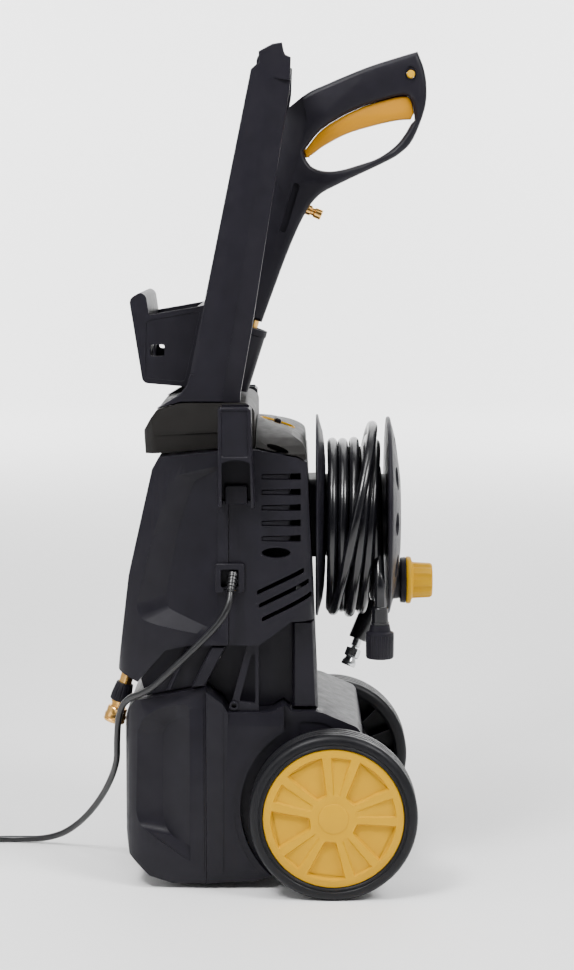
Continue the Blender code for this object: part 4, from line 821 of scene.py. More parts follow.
def add_rear_cover():
    seam = UPPER_SEAM + GAP
    side = [(seam, COVER_BOTTOM), (-0.008, COVER_BOTTOM), (0.026, 0.288), (rear_face(0.288), 0.288),
            (rear_face(0.455), 0.455), (0.033, 0.46), (-0.01, HOOD_BOTTOM - 0.001),
            (seam, HOOD_BOTTOM - 0.001)]
    plan = nosed_plan(seam, 0.022, 0.05, BODY_HALF, 0.098, 2.0, 10)
    body = housing("rear_cover", side, plan, seam, 0.1185)
    louvre_heights = [0.4407 - 0.0162 * i for i in range(5)]
    for sign in (-1, 1):
        face = BODY_HALF * sign
        groove = [(-0.045, 1.1 * face), (-0.0195, 1.1 * face), (-0.02, face + sign * 0.0001),
                  (-0.033, face - sign * 0.0018), (-0.045, face - sign * 0.0018)]
        cut(body, prism("seam_groove", groove, "plan", 0.25, 0.48))
        cutters = []
        for z in louvre_heights:
            pocket = [(-0.005, z - 0.0026), (0.035, z - 0.0036), (0.035, z + 0.0036), (-0.005, z + 0.0026)]
            cutters.append(flank("louvre", sign, pocket, 0.1202, OUTSIDE))
            slot = [(0.0245, z - 0.003), (0.0356, z - 0.0034), (0.0356, z + 0.0034), (0.0245, z + 0.003)]
            cutters.append(flank("slot", sign, slot, 0.1, OUTSIDE))
        cutters.append(flank("oval", sign, ellipse((0.01, 0.361), 0.015, 0.0054), 0.11, OUTSIDE))
        for low, high in (((-0.01, 0.3165), (0.039, 0.3395)), ((-0.008, 0.3025), (0.044, 0.3275)),
                          ((-0.005, 0.288), (0.047, 0.3135))):
            vent = [low, high, (high[0], high[1] + 0.0054), (low[0], low[1] + 0.0046)]
            cutters.append(flank("vent", sign, filleted(vent, 0.0016, 3), 0.09, OUTSIDE))
        for cutter in cutters:
            cut(body, cutter)
        for z in louvre_heights:
            blade = [(-0.004, z - 0.0018), (0.0225, z - 0.0025), (0.0225, z + 0.0023), (-0.004, z + 0.0014)]
            combine(body, "UNION", layered("blade", [
                (sign * 0.1195, [blade]),
                (lambda u, v: sign * (0.124 - (u + 0.004) * 0.06), [blade]),
            ]))
    rib = [(-0.016, 0.278), (0.026, 0.29), (0.048, 0.29), (0.047, 0.338), (0.042, 0.34),
           (0.0405, 0.456), (0.024, 0.458), (0.024, 0.4115), (-0.016, 0.4115)]
    combine(body, "UNION", prism("rib", rib, "side", -0.0015, 0.0015))
    lead_hole = prism("lead_hole", rect(0.03, 0.3, 0.07, 0.31), "side", -0.004, 0.004)
    cut(body, gland_hole(), lead_hole)
    finish(body, "rear_cover_skin", "rear_cover", bevel=0.0005)


def add_rear_tower():
    wide, narrow = 0.104, 0.088
    low = BASE_TOP + GAP
    back = [(-0.036, low), (0.004, low), (0.017, 0.1998), (0.0275, low), (0.0275, 0.284), (-0.006, NECK_TOP),
            (-0.036, NECK_TOP)]
    pillar = [(0.0265, low), (0.054, low), (0.05, 0.2865), (0.0265, 0.2865)]
    body = prism("rear_tower", back, "side", -narrow, narrow)
    post = layered("pillar", [(-wide, [inset(pillar, 0.003)]), (0.006 - wide, [pillar]),
                              (wide - 0.006, [pillar]), (wide, [inset(pillar, 0.003)])])
    combine(body, "UNION", post)
    cavity = [(-0.033, 0.18), (0.05, 0.18), (0.0465, 0.2835), (0.024, 0.279), (-0.0065, 0.2585),
              (-0.033, 0.2585)]
    cut(body, prism("inside", cavity, "side", WALL - narrow, narrow - WALL))
    waist = [(-0.034, 0.1924), (-0.04, 0.1924), (-0.0462, 0.2032), (-0.0625, 0.2152), (-0.0625, 0.2193),
             (-0.0413, 0.26), (-0.034, 0.26)]
    for sign in (-1, 1):
        combine(body, "UNION", flank("waist", sign, waist, narrow - WALL, narrow))
    panel = filleted([(0.06, 0.205), (0.06, 0.272), (-0.06, 0.272), (-0.06, 0.205)], 0.006, 4)
    cut(body, prism("back_panel", panel, "front", 0.0495, 0.07))
    finish(body, "tower_skin", "rear_tower", bevel=0.0008)


def add_braces():
    for side, sign in SIDES:
        outer = [(-0.0395, BASE_TOP + GAP), (-0.0085, BASE_TOP + GAP), (-0.0085, COVER_BOTTOM - GAP),
                 (-0.0205, COVER_BOTTOM - GAP)]
        hole = filleted([(-0.029, 0.202), (-0.012, 0.2), (-0.012, 0.252), (-0.016, 0.252)], 0.0016, 3)
        body = prism("brace", outer, "side", sign * 0.112, sign * 0.116, hole)
        x, z = -0.0345, 0.1975
        combine(body, "UNION", rod("boss", (x, sign * 0.1145, z), (x, sign * 0.1185, z), 0.0048))
        cut(body, rod("screw_hole", (x, sign * 0.1135, z), (x, sign * 0.12, z), 0.0026))
        finish(body, "brace_" + side, "side_brace_" + side, bevel=0.0005)


def add_feet():
    for side, sign in SIDES:
        low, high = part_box("foot_" + side)
        outline = filleted(rect(low.x, low.y, high.x, high.y), 0.004, 4)
        treads = [(low.z, [inset(outline, 0.0012)]), (low.z + 0.0012, [outline]), (high.z, [outline])]
        finish(layered("foot", treads, "plan"), "foot_pad_" + side, "foot_" + side, bevel=0.0003)


add_lower_front_cover()
add_base_housing()
add_neck()
add_upper_front_cover()
add_rear_cover()
add_rear_tower()
add_braces()
add_feet()


# ---- Hood, cheek and power switch ----
HOOD_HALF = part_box("top_hood")[1].y
HOOD_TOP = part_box("top_hood")[1].z
SWITCH_CENTRE = Vector((0.01, 0.0, 0.4873))
SWITCH_NORMAL = Vector((0.296, 0.0, 0.955)).normalized()


def add_hood():
    side = [(-0.127, 0.4625), (-0.05, HOOD_BOTTOM), (-0.0125, HOOD_BOTTOM), (-0.0125, 0.508),
            (-0.02, HOOD_TOP), (-0.09, HOOD_TOP), (-0.115, 0.508), (-0.121, 0.5), (-0.129, 0.486)]
    plan = [(-0.0125, -HOOD_HALF), (-0.117, -HOOD_HALF), (-0.129, -0.096), (-0.129, 0.096),
            (-0.117, HOOD_HALF), (-0.0125, HOOD_HALF)]
    body = prism("hood", filleted(side, 0.004, 4, (3, 4, 5)), "side", -0.2, 0.2)
    combine(body, "INTERSECT", prism("plan", filleted(plan, 0.006, 4, (1, 2, 3, 4)), "plan", 0.4, 0.6))
    inside = [(x, z - 0.01 if z < 0.475 else z) for x, z in inset(side, WALL)]
    cut(body, prism("inside", inside, "side", 0.012 - HOOD_HALF, HOOD_HALF - 0.012))
    upper = [(-0.14, 0.4822), (0.0, 0.4878), (0.0, 0.53), (-0.14, 0.53)]
    lower = [(-0.14, 0.45), (0.0, 0.45), (0.0, 0.4878), (-0.14, 0.4822)]
    for sign in (-1, 1):
        cut(
            body,
            slanted(sign, upper, lambda u, v: HOOD_HALF - 0.0016 - (v - 0.4878 - u * 0.04) * 0.2),
            slanted(sign, lower, lambda u, v: HOOD_HALF + 0.0002 - (v - 0.4625) * 0.085),
        )
    for i in range(4):
        x = -0.108 + 0.0145 * i
        vent = [(x, 0.455), (x + 0.01, 0.455), (x + 0.01, 0.4672), (x, 0.466)]
        cut(body, prism("vent", vent, "side", -0.1, 0.1))
    finish(body, "hood", "top_hood", bevel=0.0009, segments=3)


def add_cheek():
    side = [(-0.0115, HOOD_BOTTOM + 0.0012), (0.033, 0.4616), (0.0415, 0.4565), (0.0395, 0.4735),
            (0.024, 0.483), (-0.0115, 0.494)]
    crown = [(-0.1235, 0.44), (-0.1235, 0.464), (-0.116, 0.4715), (-0.1, 0.479), (-0.078, 0.485),
             (-0.055, 0.49), (-0.028, 0.4932), (0.0, 0.4945)]
    crown += [(-y, z) for y, z in crown[-2::-1]]
    body = prism("cheek", filleted(side, 0.006, 5, (2, 3, 4)), "side", -0.2, 0.2)
    combine(body, "INTERSECT", prism("crown", crown, "front", -0.1, 0.1))
    floor = SWITCH_CENTRE - SWITCH_NORMAL * 0.006
    lens = ellipse((0.0115, 0.469), 0.012, 0.003, math.radians(-17))
    cut(
        body,
        rod("recess", floor, SWITCH_CENTRE + SWITCH_NORMAL * 0.02, 0.0203, steps=48),
        rod("shaft", floor - SWITCH_NORMAL * 0.03, floor + SWITCH_NORMAL * 0.01, 0.0043, steps=24),
        flank("lens_left", -1, lens, 0.106, OUTSIDE),
        flank("lens_right", 1, lens, 0.106, OUTSIDE),
    )
    finish(body, "cheek", "top_rear_cover", bevel=0.0006)
    floor += SWITCH_NORMAL * GAP
    rim = [(0.0165, 0.0), (0.02, 0.0), (0.02, 0.005), (0.0194, 0.0056), (0.0186, 0.0056),
           (0.018, 0.0048), (0.0165, 0.0015)]
    finish(lathe("bezel", rim, floor, SWITCH_NORMAL, 64), "bezel", "switch_bezel")
    dial = [(0, 0), (0.0158, 0), (0.0158, 0.003), (0.015, 0.004), (0.0128, 0.0042), (0.0122, 0.0036),
            (0, 0.0036)]
    grip = [(-0.0135, 0.0), (-0.0118, -0.0032), (0.0118, -0.0042), (0.0135, 0.0), (0.0118, 0.0042),
            (-0.0118, 0.0032)]
    disc = lathe("dial", dial, (0, 0, 0), (0, 0, 1), 56)
    bar = layered("bar", [(0.003, [grip]), (0.0085, [grip]), (0.01, [inset(grip, 0.0012)])], "plan")
    stem = rod("stem", (0, 0, -0.012), (0, 0, 0.002), 0.004, steps=20)
    knob = combine(disc, "UNION", bar, stem)
    turn = SWITCH_NORMAL.to_track_quat("Z", "Y").to_matrix().to_4x4()
    knob.data.transform(Matrix.Translation(floor) @ turn)
    finish(knob, "switch_dial", "switch_knob", bevel=0.0003)


# ---- Handle, basket and holsters ----
ARM_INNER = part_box("handle_arm_right")[0].y
ARM_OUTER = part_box("handle_arm_right")[1].y
HANDLE_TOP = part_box("handle_arm_right")[1].z


def add_arms():
    outline = [(-0.028, 0.516), (-0.0275, 0.526), (-0.015, 0.596), (0.005, 0.722), (0.024, 0.842),
               (0.025, 0.871), (0.0195, 0.8735), (0.018, 0.8765), (0.016, HANDLE_TOP), (0.006, 0.8845),
               (-0.008, 0.877), (-0.008, 0.866), (-0.016, 0.859), (-0.064, 0.622), (-0.0795, 0.548),
               (-0.0835, 0.534), (-0.0905, 0.525), (-0.101, 0.518), (-0.115, 0.5095), (-0.09, 0.516)]
    facet = [(-0.048, 0.51), (0.05, 0.51), (0.05, 0.844), (0.0062, 0.8505)]
    front = [(-0.1, 0.545), (-0.07, 0.545), (-0.068, 0.6), (-0.014, 0.862), (-0.03, 0.87)]
    for side, sign in SIDES:
        body = layered("arm", [
            (sign * ARM_INNER, [inset(outline, 0.0004)]),
            (sign * (ARM_INNER + 0.0006), [outline]),
            (sign * (ARM_OUTER - 0.0016), [outline]),
            (sign * ARM_OUTER, [inset(outline, 0.0014)]),
        ])
        cut(
            body,
            slanted(sign, facet,
                    lambda u, v: ARM_OUTER + 0.0002 - (u + 0.049 - (v - 0.516) * 0.1652) * 0.3),
            slanted(sign, front,
                    lambda u, v: ARM_OUTER - 0.0004 + (u + 0.06 - (v - 0.622) * 0.2025) * 0.45),
        )
        finish(body, "arm_" + side, "handle_arm_" + side, bevel=0.0007)


def add_grip():
    low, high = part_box("handle_grip")
    centre = ((low.x + high.x) / 2, (low.z + high.z) / 2)
    a, b = (high.x - low.x) / 2, (high.z - low.z) / 2
    ridge = ellipse(centre, a, b, count=40)
    valley = ellipse(centre, a * 0.94, b * 0.94, count=40)
    layers = [(low.y, [ridge])]
    rings = 24
    pitch = (high.y - low.y - 0.024) / rings
    for i in range(rings):
        y = low.y + 0.012 + (high.y - low.y - 0.024) * i / rings
        layers += [(y, [ridge]), (y + pitch * 0.14, [valley])]
        layers += [(y + pitch * 0.4, [valley]), (y + pitch * 0.54, [ridge])]
    layers.append((high.y, [ridge]))
    finish(layered("grip", layers), "grip", "handle_grip")


def add_basket():
    half = ARM_INNER - 0.0005
    outer = [(-0.131, 0.5345), (-0.082, 0.5305), (-0.0645, 0.6165), (-0.124, 0.606), (-0.127, 0.626),
             (-0.133, 0.63), (-0.145, 0.623)]
    body = prism("basket", filleted(outer, 0.006, 5, (0, 4, 5, 6)), "side", -half, half)
    inside = [(-0.1278, 0.538), (-0.0855, 0.5338), (-0.068, 0.65), (-0.1218, 0.65)]
    cut(body, prism("inside", filleted(inside, 0.005, 4, (0, 1)), "side", WALL - half, half - WALL))
    slot = filleted(rect(-0.123, 0.563, -0.108, 0.575), 0.0025, 3)
    panel = filleted([(-0.128, 0.54), (-0.087, 0.536), (-0.07, 0.61), (-0.127, 0.6)], 0.004, 3)
    cut(body, prism("slots", slot, "side", -0.1, 0.1))
    for sign in (-1, 1):
        cut(body, flank("panel", sign, panel, half - 0.0007, half + 0.01))
    rib = [(-0.1272, 0.5375), (-0.0875, 0.5335), (-0.0865, 0.539), (-0.1262, 0.543)]
    for y in (-0.05, -0.017, 0.017, 0.05):
        combine(body, "UNION", prism("rib", rib, "side", y - 0.001, y + 0.001))
    for sign in (-1, 1):
        window = filleted(rect(sign * 0.02, 0.552, sign * 0.062, 0.599), 0.006, 4)
        cut(body, prism("front_window", window, "front", -0.155, -0.12))
    finish(body, "basket", "accessory_basket", bevel=0.0008)


def gun_axis_at(z):
    start, along = Vector((0.023, 0.0, 0.718)), Vector((0.3, 0.0, 0.954))
    return start + along * ((z - start.z) / along.z)


def add_gun_holster():
    half = ARM_INNER - GAP
    panel = filleted(rect(-half, 0.53, half, 0.582), 0.006, 4, (2, 3))
    body = prism("plate", panel, "front", -0.06, -0.053)
    for sign in (-1, 1):
        window = filleted(rect(sign * 0.03, 0.541, sign * 0.068, 0.571), 0.004, 4)
        cut(body, prism("window", window, "front", -0.0556, -0.05))
    web = prism("web", rect(-0.056, 0.534, -0.035, 0.578), "side", -0.007, 0.007)
    start, end = gun_axis_at(0.524), gun_axis_at(0.59)
    length = (end - start).length
    cup = [(0, 0), (0.016, 0), (0.0164, 0.002), (0.0164, length - 0.008), (0.0172, length - 0.007),
           (0.0172, length - 0.0008), (0.0166, length), (0, length)]
    combine(body, "UNION", web, lathe("cup", cup, start, end - start, 56))
    cut(body, rod("bore", gun_axis_at(0.5), gun_axis_at(0.61), 0.0142, steps=48))
    finish(body, "holster", "gun_holster", bevel=0.0005)


def add_side_holsters():
    """An open scoop above, a dark pocket below its curved lower edge, and a small tongue at the bottom."""
    back = BODY_HALF + 0.002
    depth = 0.034
    outer = [(-0.049, 0.4125), (-0.049, 0.513), (-0.0455, 0.516), (-0.0185, 0.516), (-0.015, 0.5125),
             (-0.0142, 0.464), (-0.0115, 0.414), (-0.013, 0.412)]
    for side, sign in SIDES:
        body = layered("scoop", [
            (sign * back, [outer]),
            (sign * (back + depth - 0.0022), [outer]),
            (sign * (back + depth - 0.0006), [inset(outer, 0.0007)]),
            (sign * (back + depth), [inset(outer, 0.0018)]),
        ])
        pocket = [(-0.0463, 0.4165), (-0.0463, 0.54), (-0.0178, 0.54), (-0.017, 0.464), (-0.0146, 0.4165)]
        cut(body, flank("pocket", sign, pocket, back + 0.003, back + depth - 0.0032))
        arch = [(-0.0452 + 0.029 * i / 12, 0.4618 - 0.0036 * abs(i / 6 - 1) ** 2) for i in range(13)]
        window = [(-0.0452, 0.395), *arch, (-0.0146, 0.395)]
        cut(body, flank("window", sign, window, back + 0.0085, back + depth + 0.01))
        face = inset([(-0.049, 0.4605), (-0.049, 0.513), (-0.0455, 0.516), (-0.0185, 0.516),
                      (-0.015, 0.5125), (-0.0142, 0.4605)], 0.0034)
        cut(body, layered("face", [
            (sign * (back + depth + 0.01), [filleted(face, 0.003, 4)]),
            (sign * (back + depth - 0.0001), [filleted(face, 0.003, 4)]),
            (sign * (back + depth - 0.0013), [filleted(inset(face, 0.001), 0.003, 4)]),
        ]))
        scoop = rod("scoop_cut", (-0.032, sign * (back + depth + 0.012), 0.536),
                    (-0.032, sign * (back + 0.012), 0.529), 0.015, steps=40)
        cut(body, scoop)
        tongue = layered("tongue", [
            (sign * (back + 0.008), [filleted(rect(-0.043, 0.413, -0.019, 0.433), 0.002, 3)]),
            (sign * (back + 0.0105), [filleted(rect(-0.042, 0.414, -0.02, 0.432), 0.002, 3)]),
        ])
        combine(body, "UNION", tongue)
        finish(body, "lance_holster_" + side, "side_holster_" + side, bevel=0.0005)


# ---- Gun ----
GUN_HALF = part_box("gun_shell_right")[1].y
GUN_OUTER = [
    (0.023, 0.825), (0.042, 0.8395), (0.065, 0.85), (0.104, 0.866), (0.14, 0.8775),
    (0.159, 0.883), (0.166, 0.865), (0.169, 0.845), (0.167, 0.822), (0.155, 0.791),
    (0.142, 0.7765), (0.124, 0.766), (0.077, 0.744), (0.054, 0.731), (0.038, 0.709),
    (0.019, 0.666), (-0.007, 0.5955), (-0.028, 0.602), (-0.008, 0.7), (0.002, 0.76),
    (0.009, 0.8),
]
TRIGGER_TOP = [
    (0.038, 0.778), (0.053, 0.7975), (0.071, 0.811), (0.097, 0.824), (0.123, 0.8325),
    (0.145, 0.837), (0.153, 0.8315), (0.1565, 0.818), (0.157, 0.811),
]
LOOP_BOTTOM = [
    (0.153, 0.807), (0.1465, 0.796), (0.136, 0.7835), (0.118, 0.771), (0.097, 0.7635),
    (0.077, 0.758), (0.061, 0.757), (0.048, 0.761), (0.041, 0.769),
]
TRIGGER_BOTTOM = [
    (0.153, 0.8115), (0.136, 0.81), (0.11, 0.804), (0.084, 0.796), (0.061, 0.784),
    (0.047, 0.774), (0.0405, 0.7715),
]
TRIGGER_PIVOT = (0.03, 0.7745)
PLUG_START = Vector((0.029, 0.0, 0.7215))
PLUG_END = Vector((0.0575, 0.0, 0.71))


def turned_about(points, centre, angle):
    c, s = math.cos(angle), math.sin(angle)
    return [(centre[0] + (x - centre[0]) * c - (z - centre[1]) * s,
             centre[1] + (x - centre[0]) * s + (z - centre[1]) * c) for x, z in points]


def add_gun_shells():
    outer = smooth_loop(GUN_OUTER, 4, (0, 5, 16, 17))
    hole = smooth_loop(TRIGGER_TOP + LOOP_BOTTOM, 4, (0, 8))
    raised = turned_about(TRIGGER_TOP[:-1], TRIGGER_PIVOT, math.radians(9.4))
    pivot_x, pivot_z = TRIGGER_PIVOT
    low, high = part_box("safety_button")
    button = ((low.x + high.x) / 2, (low.z + high.z) / 2)
    slot_low, slot_high = Vector((0.015, 0.692)), Vector((0.031, 0.744))
    along = (slot_high - slot_low).normalized()
    across = Vector((-along.y, along.x)) * 0.0036
    slot = [tuple(corner) for corner in (slot_low - across, slot_high - across, slot_high + across,
                                         slot_low + across)]
    facet = [(0.0000, 0.76), (0.034, 0.7), (0.039, 0.77), (0.043, 0.805), (0.033, 0.856),
             (-0.02, 0.84), (-0.02, 0.76)]
    for side, sign in SIDES:
        body = layered("shell", [
            (sign * GAP / 2, [outer, hole]),
            (sign * (GUN_HALF - 0.0052), [outer, hole]),
            (sign * (GUN_HALF - 0.0022), [inset(outer, 0.0013), inset(hole, -0.0012)]),
            (sign * (GUN_HALF - 0.0006), [inset(outer, 0.0032), inset(hole, -0.0026)]),
            (sign * GUN_HALF, [inset(outer, 0.005), inset(hole, -0.004)]),
        ])
        cut(body, prism("pocket", inset(raised + TRIGGER_BOTTOM, -0.0016), "side", -0.0112, 0.0112))
        cut(
            body,
            rod("barrel_bore", gun_axis_at(0.57), gun_axis_at(0.738), 0.0095, steps=24),
            rod("plug_bore", PLUG_START, PLUG_END, 0.0059, steps=24),
            rod("lug_bore", (pivot_x, -0.0072, pivot_z), (pivot_x, 0.0072, pivot_z), 0.007, steps=24),
            prism("neck", [(0.03, 0.7675), (0.045, 0.7675), (0.045, 0.786), (0.031, 0.7815)], "side",
                  -0.0072, 0.0072),
            rod("pin_bore", (pivot_x, -0.0114, pivot_z), (pivot_x, 0.0114, pivot_z), 0.0024, steps=16),
            rod("button_hole", (button[0], -0.03, button[1]), (button[0], 0.03, button[1]), 0.0047, steps=32),
            flank("button_dish", sign, ellipse(button, 0.0062, 0.0086), GUN_HALF - 0.0016, 0.03),
            flank("slot", sign, filleted(slot, 0.0034, 5), GUN_HALF - 0.0035, 0.03),
            slanted(sign, facet, lambda u, v: GUN_HALF + 0.0001 + (u - 0.024 - (v - 0.744) * 0.3) * 0.34),
        )
        finish(body, "gun_half_" + side, "gun_shell_" + side, bevel=0.0004, angle=38)


def add_gun_pieces():
    outline = inset(smooth_loop(TRIGGER_TOP[:-1] + TRIGGER_BOTTOM, 4, (0, 7, 8)), 0.0006)
    half = 0.01
    edge, shoulder = [inset(outline, 0.0018)], [inset(outline, 0.0007)]
    trigger = layered("trigger", [
        (-half, edge), (0.0006 - half, shoulder), (0.002 - half, [outline]),
        (half - 0.002, [outline]), (half - 0.0006, shoulder), (half, edge),
    ])
    x, z = TRIGGER_PIVOT
    arm = [(x, z - 0.0045), (x + 0.0145, z - 0.0025), (x + 0.0145, z + 0.0065), (x, z + 0.005)]
    combine(
        trigger, "UNION",
        prism("arm", arm, "side", -0.0065, 0.0065),
        rod("lug", (x, -0.0065, z), (x, 0.0065, z), 0.006, steps=24),
        rod("pin", (x, -0.011, z), (x, 0.011, z), 0.002, steps=16),
    )
    finish(trigger, "trigger", "gun_trigger", bevel=0.0003)

    low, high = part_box("safety_button")
    radius = (high.x - low.x) / 2
    length = high.y - low.y
    profile = [(0, 0), (radius, 0), (radius, length - 0.001), (radius - 0.001, length), (0, length)]
    flipped = [(r, length - d) for r, d in profile][::-1]
    button = lathe("button", flipped, ((low.x + high.x) / 2, low.y, (low.z + high.z) / 2), (0, 1, 0), 40)
    finish(button, "lock_button", "safety_button", bevel=0.0003)

    along = (PLUG_END - PLUG_START).normalized()
    length = (PLUG_END - PLUG_START).length - 0.003
    profile = [(0, 0), (0.0055, 0), (0.0055, length - 0.0126), (0.0041, length - 0.0116),
               (0.0041, length - 0.009), (0.0055, length - 0.008), (0.0055, length - 0.0008),
               (0.0047, length), (0.0028, length),
               (0.0028, length - 0.006), (0, length - 0.006)]
    plug = lathe("plug", profile, PLUG_START + along * 0.003, along, 40)
    finish(plug, "hose_plug", "gun_plug", bevel=0.0002)

    low, high = gun_axis_at(0.524), gun_axis_at(0.6935)
    length = (high - low).length
    profile = [(0, 0), (0.0044, 0), (0.0055, 0.0012), (0.0055, 0.02), (0.0095, 0.022), (0.0105, 0.0236),
               (0.0105, 0.03), (0.0092, 0.0312), (0.0092, 0.036), (0.0105, 0.0372), (0.0105, 0.05),
               (0.009, 0.0524), (0.0055, 0.053), (0.0055, length), (0, length)]
    finish(lathe("barrel", profile, low, high - low, 40), "barrel", "gun_barrel")


# ---- Wheels ----
WHEEL_RADIUS = (WHEEL[1].z - WHEEL[0].z) / 2
WHEEL_OUTER = -WHEEL[0].y
WHEEL_INNER = -WHEEL[1].y
TREAD = 0.014
CAP_DEPTH = 0.008


def polar(radius, degrees):
    """(x, z) at a distance and an angle from the axle."""
    angle = math.radians(degrees)
    return (AXLE.x + radius * math.cos(angle), AXLE.z + radius * math.sin(angle))


def on_axle(name, profile, sign, level, steps):
    """A profile turned about the axle, measured outwards from |y| = level."""
    return lathe(name, profile, (AXLE.x, sign * level, AXLE.z), (0, sign, 0), steps)


def add_wheel(side, sign):
    width = WHEEL_OUTER - WHEEL_INNER
    rim = WHEEL_RADIUS - TREAD
    hub = 0.014
    web = width - CAP_DEPTH - 0.012
    shoulder = [(WHEEL_RADIUS - 0.007 * (1 - math.sin(a)), width - 0.007 * (1 - math.cos(a)))
                for a in [math.pi / 2 * i / 6 for i in range(6, -1, -1)]]
    near = [(r, width - d) for r, d in shoulder[::-1]]
    tread = []
    for i in range(3):
        d = width * (0.32 + 0.18 * i)
        tread += [(WHEEL_RADIUS, d - 0.0016), (WHEEL_RADIUS - 0.001, d - 0.001)]
        tread += [(WHEEL_RADIUS - 0.001, d + 0.001), (WHEEL_RADIUS, d + 0.0016)]
    profile = [(0.0063, 0.002), (hub, 0.002), (hub, web), (rim, web), (rim, 0.002), (rim + 0.003, 0.0)]
    profile += near + tread + shoulder
    profile += [(rim + 0.0048, width), (rim + 0.004, width - 0.0008), (rim + 0.0032, width - 0.0008),
                (rim + 0.0024, width), (rim + 0.001, width), (rim, width - 0.0012), (rim, web + 0.003),
                (0.0063, web + 0.003)]
    body = on_axle("wheel", profile, sign, WHEEL_INNER, 128)
    ribs = []
    for i in range(16):
        degrees = 360 * i / 16
        a, b = Vector(polar(hub - 0.001, degrees)), Vector(polar(rim + 0.001, degrees))
        off = (b - a).normalized().orthogonal() * 0.0009
        spoke = [tuple(corner) for corner in (a - off, b - off, b + off, a + off)]
        ribs.append(flank("rib", sign, spoke, WHEEL_INNER + 0.006, WHEEL_INNER + web + 0.001))
    ring = on_axle("ring", rect(0.0455, 0.006, 0.0475, web + 0.001), sign, WHEEL_INNER, 96)
    body = merged("wheel", body, ring, *ribs)
    finish(body, "tyre_" + side, "wheel_" + side, angle=30)


def add_wheel_cap(side, sign):
    radius = WHEEL_RADIUS - TREAD - GAP
    face = WHEEL_OUTER - 0.0012
    profile = [(0, -CAP_DEPTH), (radius - 0.004, -CAP_DEPTH), (radius, -CAP_DEPTH + 0.002), (radius, -0.0016),
               (radius - 0.0005, -0.0005), (radius - 0.0016, 0.0), (0, 0.0)]
    body = on_axle("cap", profile, sign, face, 128)
    above, skin = sign * (face + 0.004), sign * (face - 0.0001)
    cutters = []
    for i in range(5):
        middle = 119 - 72 * i
        arc = [polar(0.0655, middle - 18.5 + 37 * k / 14) for k in range(15)]
        fan = [polar(0.025, middle - 14), *arc, polar(0.025, middle + 14)]
        fan = filleted(fan, 0.003, 4, (0, 1, 15, 16))
        cutters.append(layered("fan", [(above, [inset(fan, -0.001)]), (skin, [fan]),
                                       (sign * (face - 0.0046), [inset(fan, 0.0016)])]))
        middle -= 36
        arc = [polar(0.065, middle - 9.5 + 19 * k / 8) for k in range(9)]
        wedge = [polar(0.024, middle - 8), *arc, polar(0.024, middle + 8)]
        wedge = filleted(wedge, 0.0016, 3, (0, 1, 9, 10))
        centre = polar(0.024, middle)

        def sunk(u, v, centre=centre):
            reach = math.hypot(u - centre[0], v - centre[1]) / 0.041
            return sign * (face - 0.0004 - 0.0026 * min(1.0, reach))

        cutters.append(layered("wedge", [(above, [inset(wedge, -0.001)]), (skin, [wedge]),
                                         (sunk, [inset(wedge, 0.0014)])]))
    for cutter in cutters:
        cut(body, cutter)
    boss = [(0, -0.001), (0.0165, -0.001), (0.0155, 0.0006), (0.0135, 0.0012), (0, 0.0012)]
    combine(body, "UNION", on_axle("boss", boss, sign, face, 72))
    finish(body, "cap_" + side, "wheel_cap_" + side, bevel=0.0005, angle=28)


# ---- Reel ----
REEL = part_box("reel_outer_flange")
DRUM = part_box("reel_drum")
REEL_CENTRE = (DRUM[0].z + DRUM[1].z) / 2
CRANK_Z = (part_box("crank_knob")[0].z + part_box("crank_knob")[1].z) / 2


def ring_of_rods(name, count, first, distance, centre_z, start, end, radius, end_radius=None, steps=32):
    """Rods along +X, evenly spaced on a circle from the first one's angle on."""
    made = []
    for i in range(count):
        angle = first + math.tau * i / count
        y, z = distance * math.cos(angle), centre_z + distance * math.sin(angle)
        made.append(rod(name, (start, y, z), (end, y, z), radius, end_radius, steps))
    return made


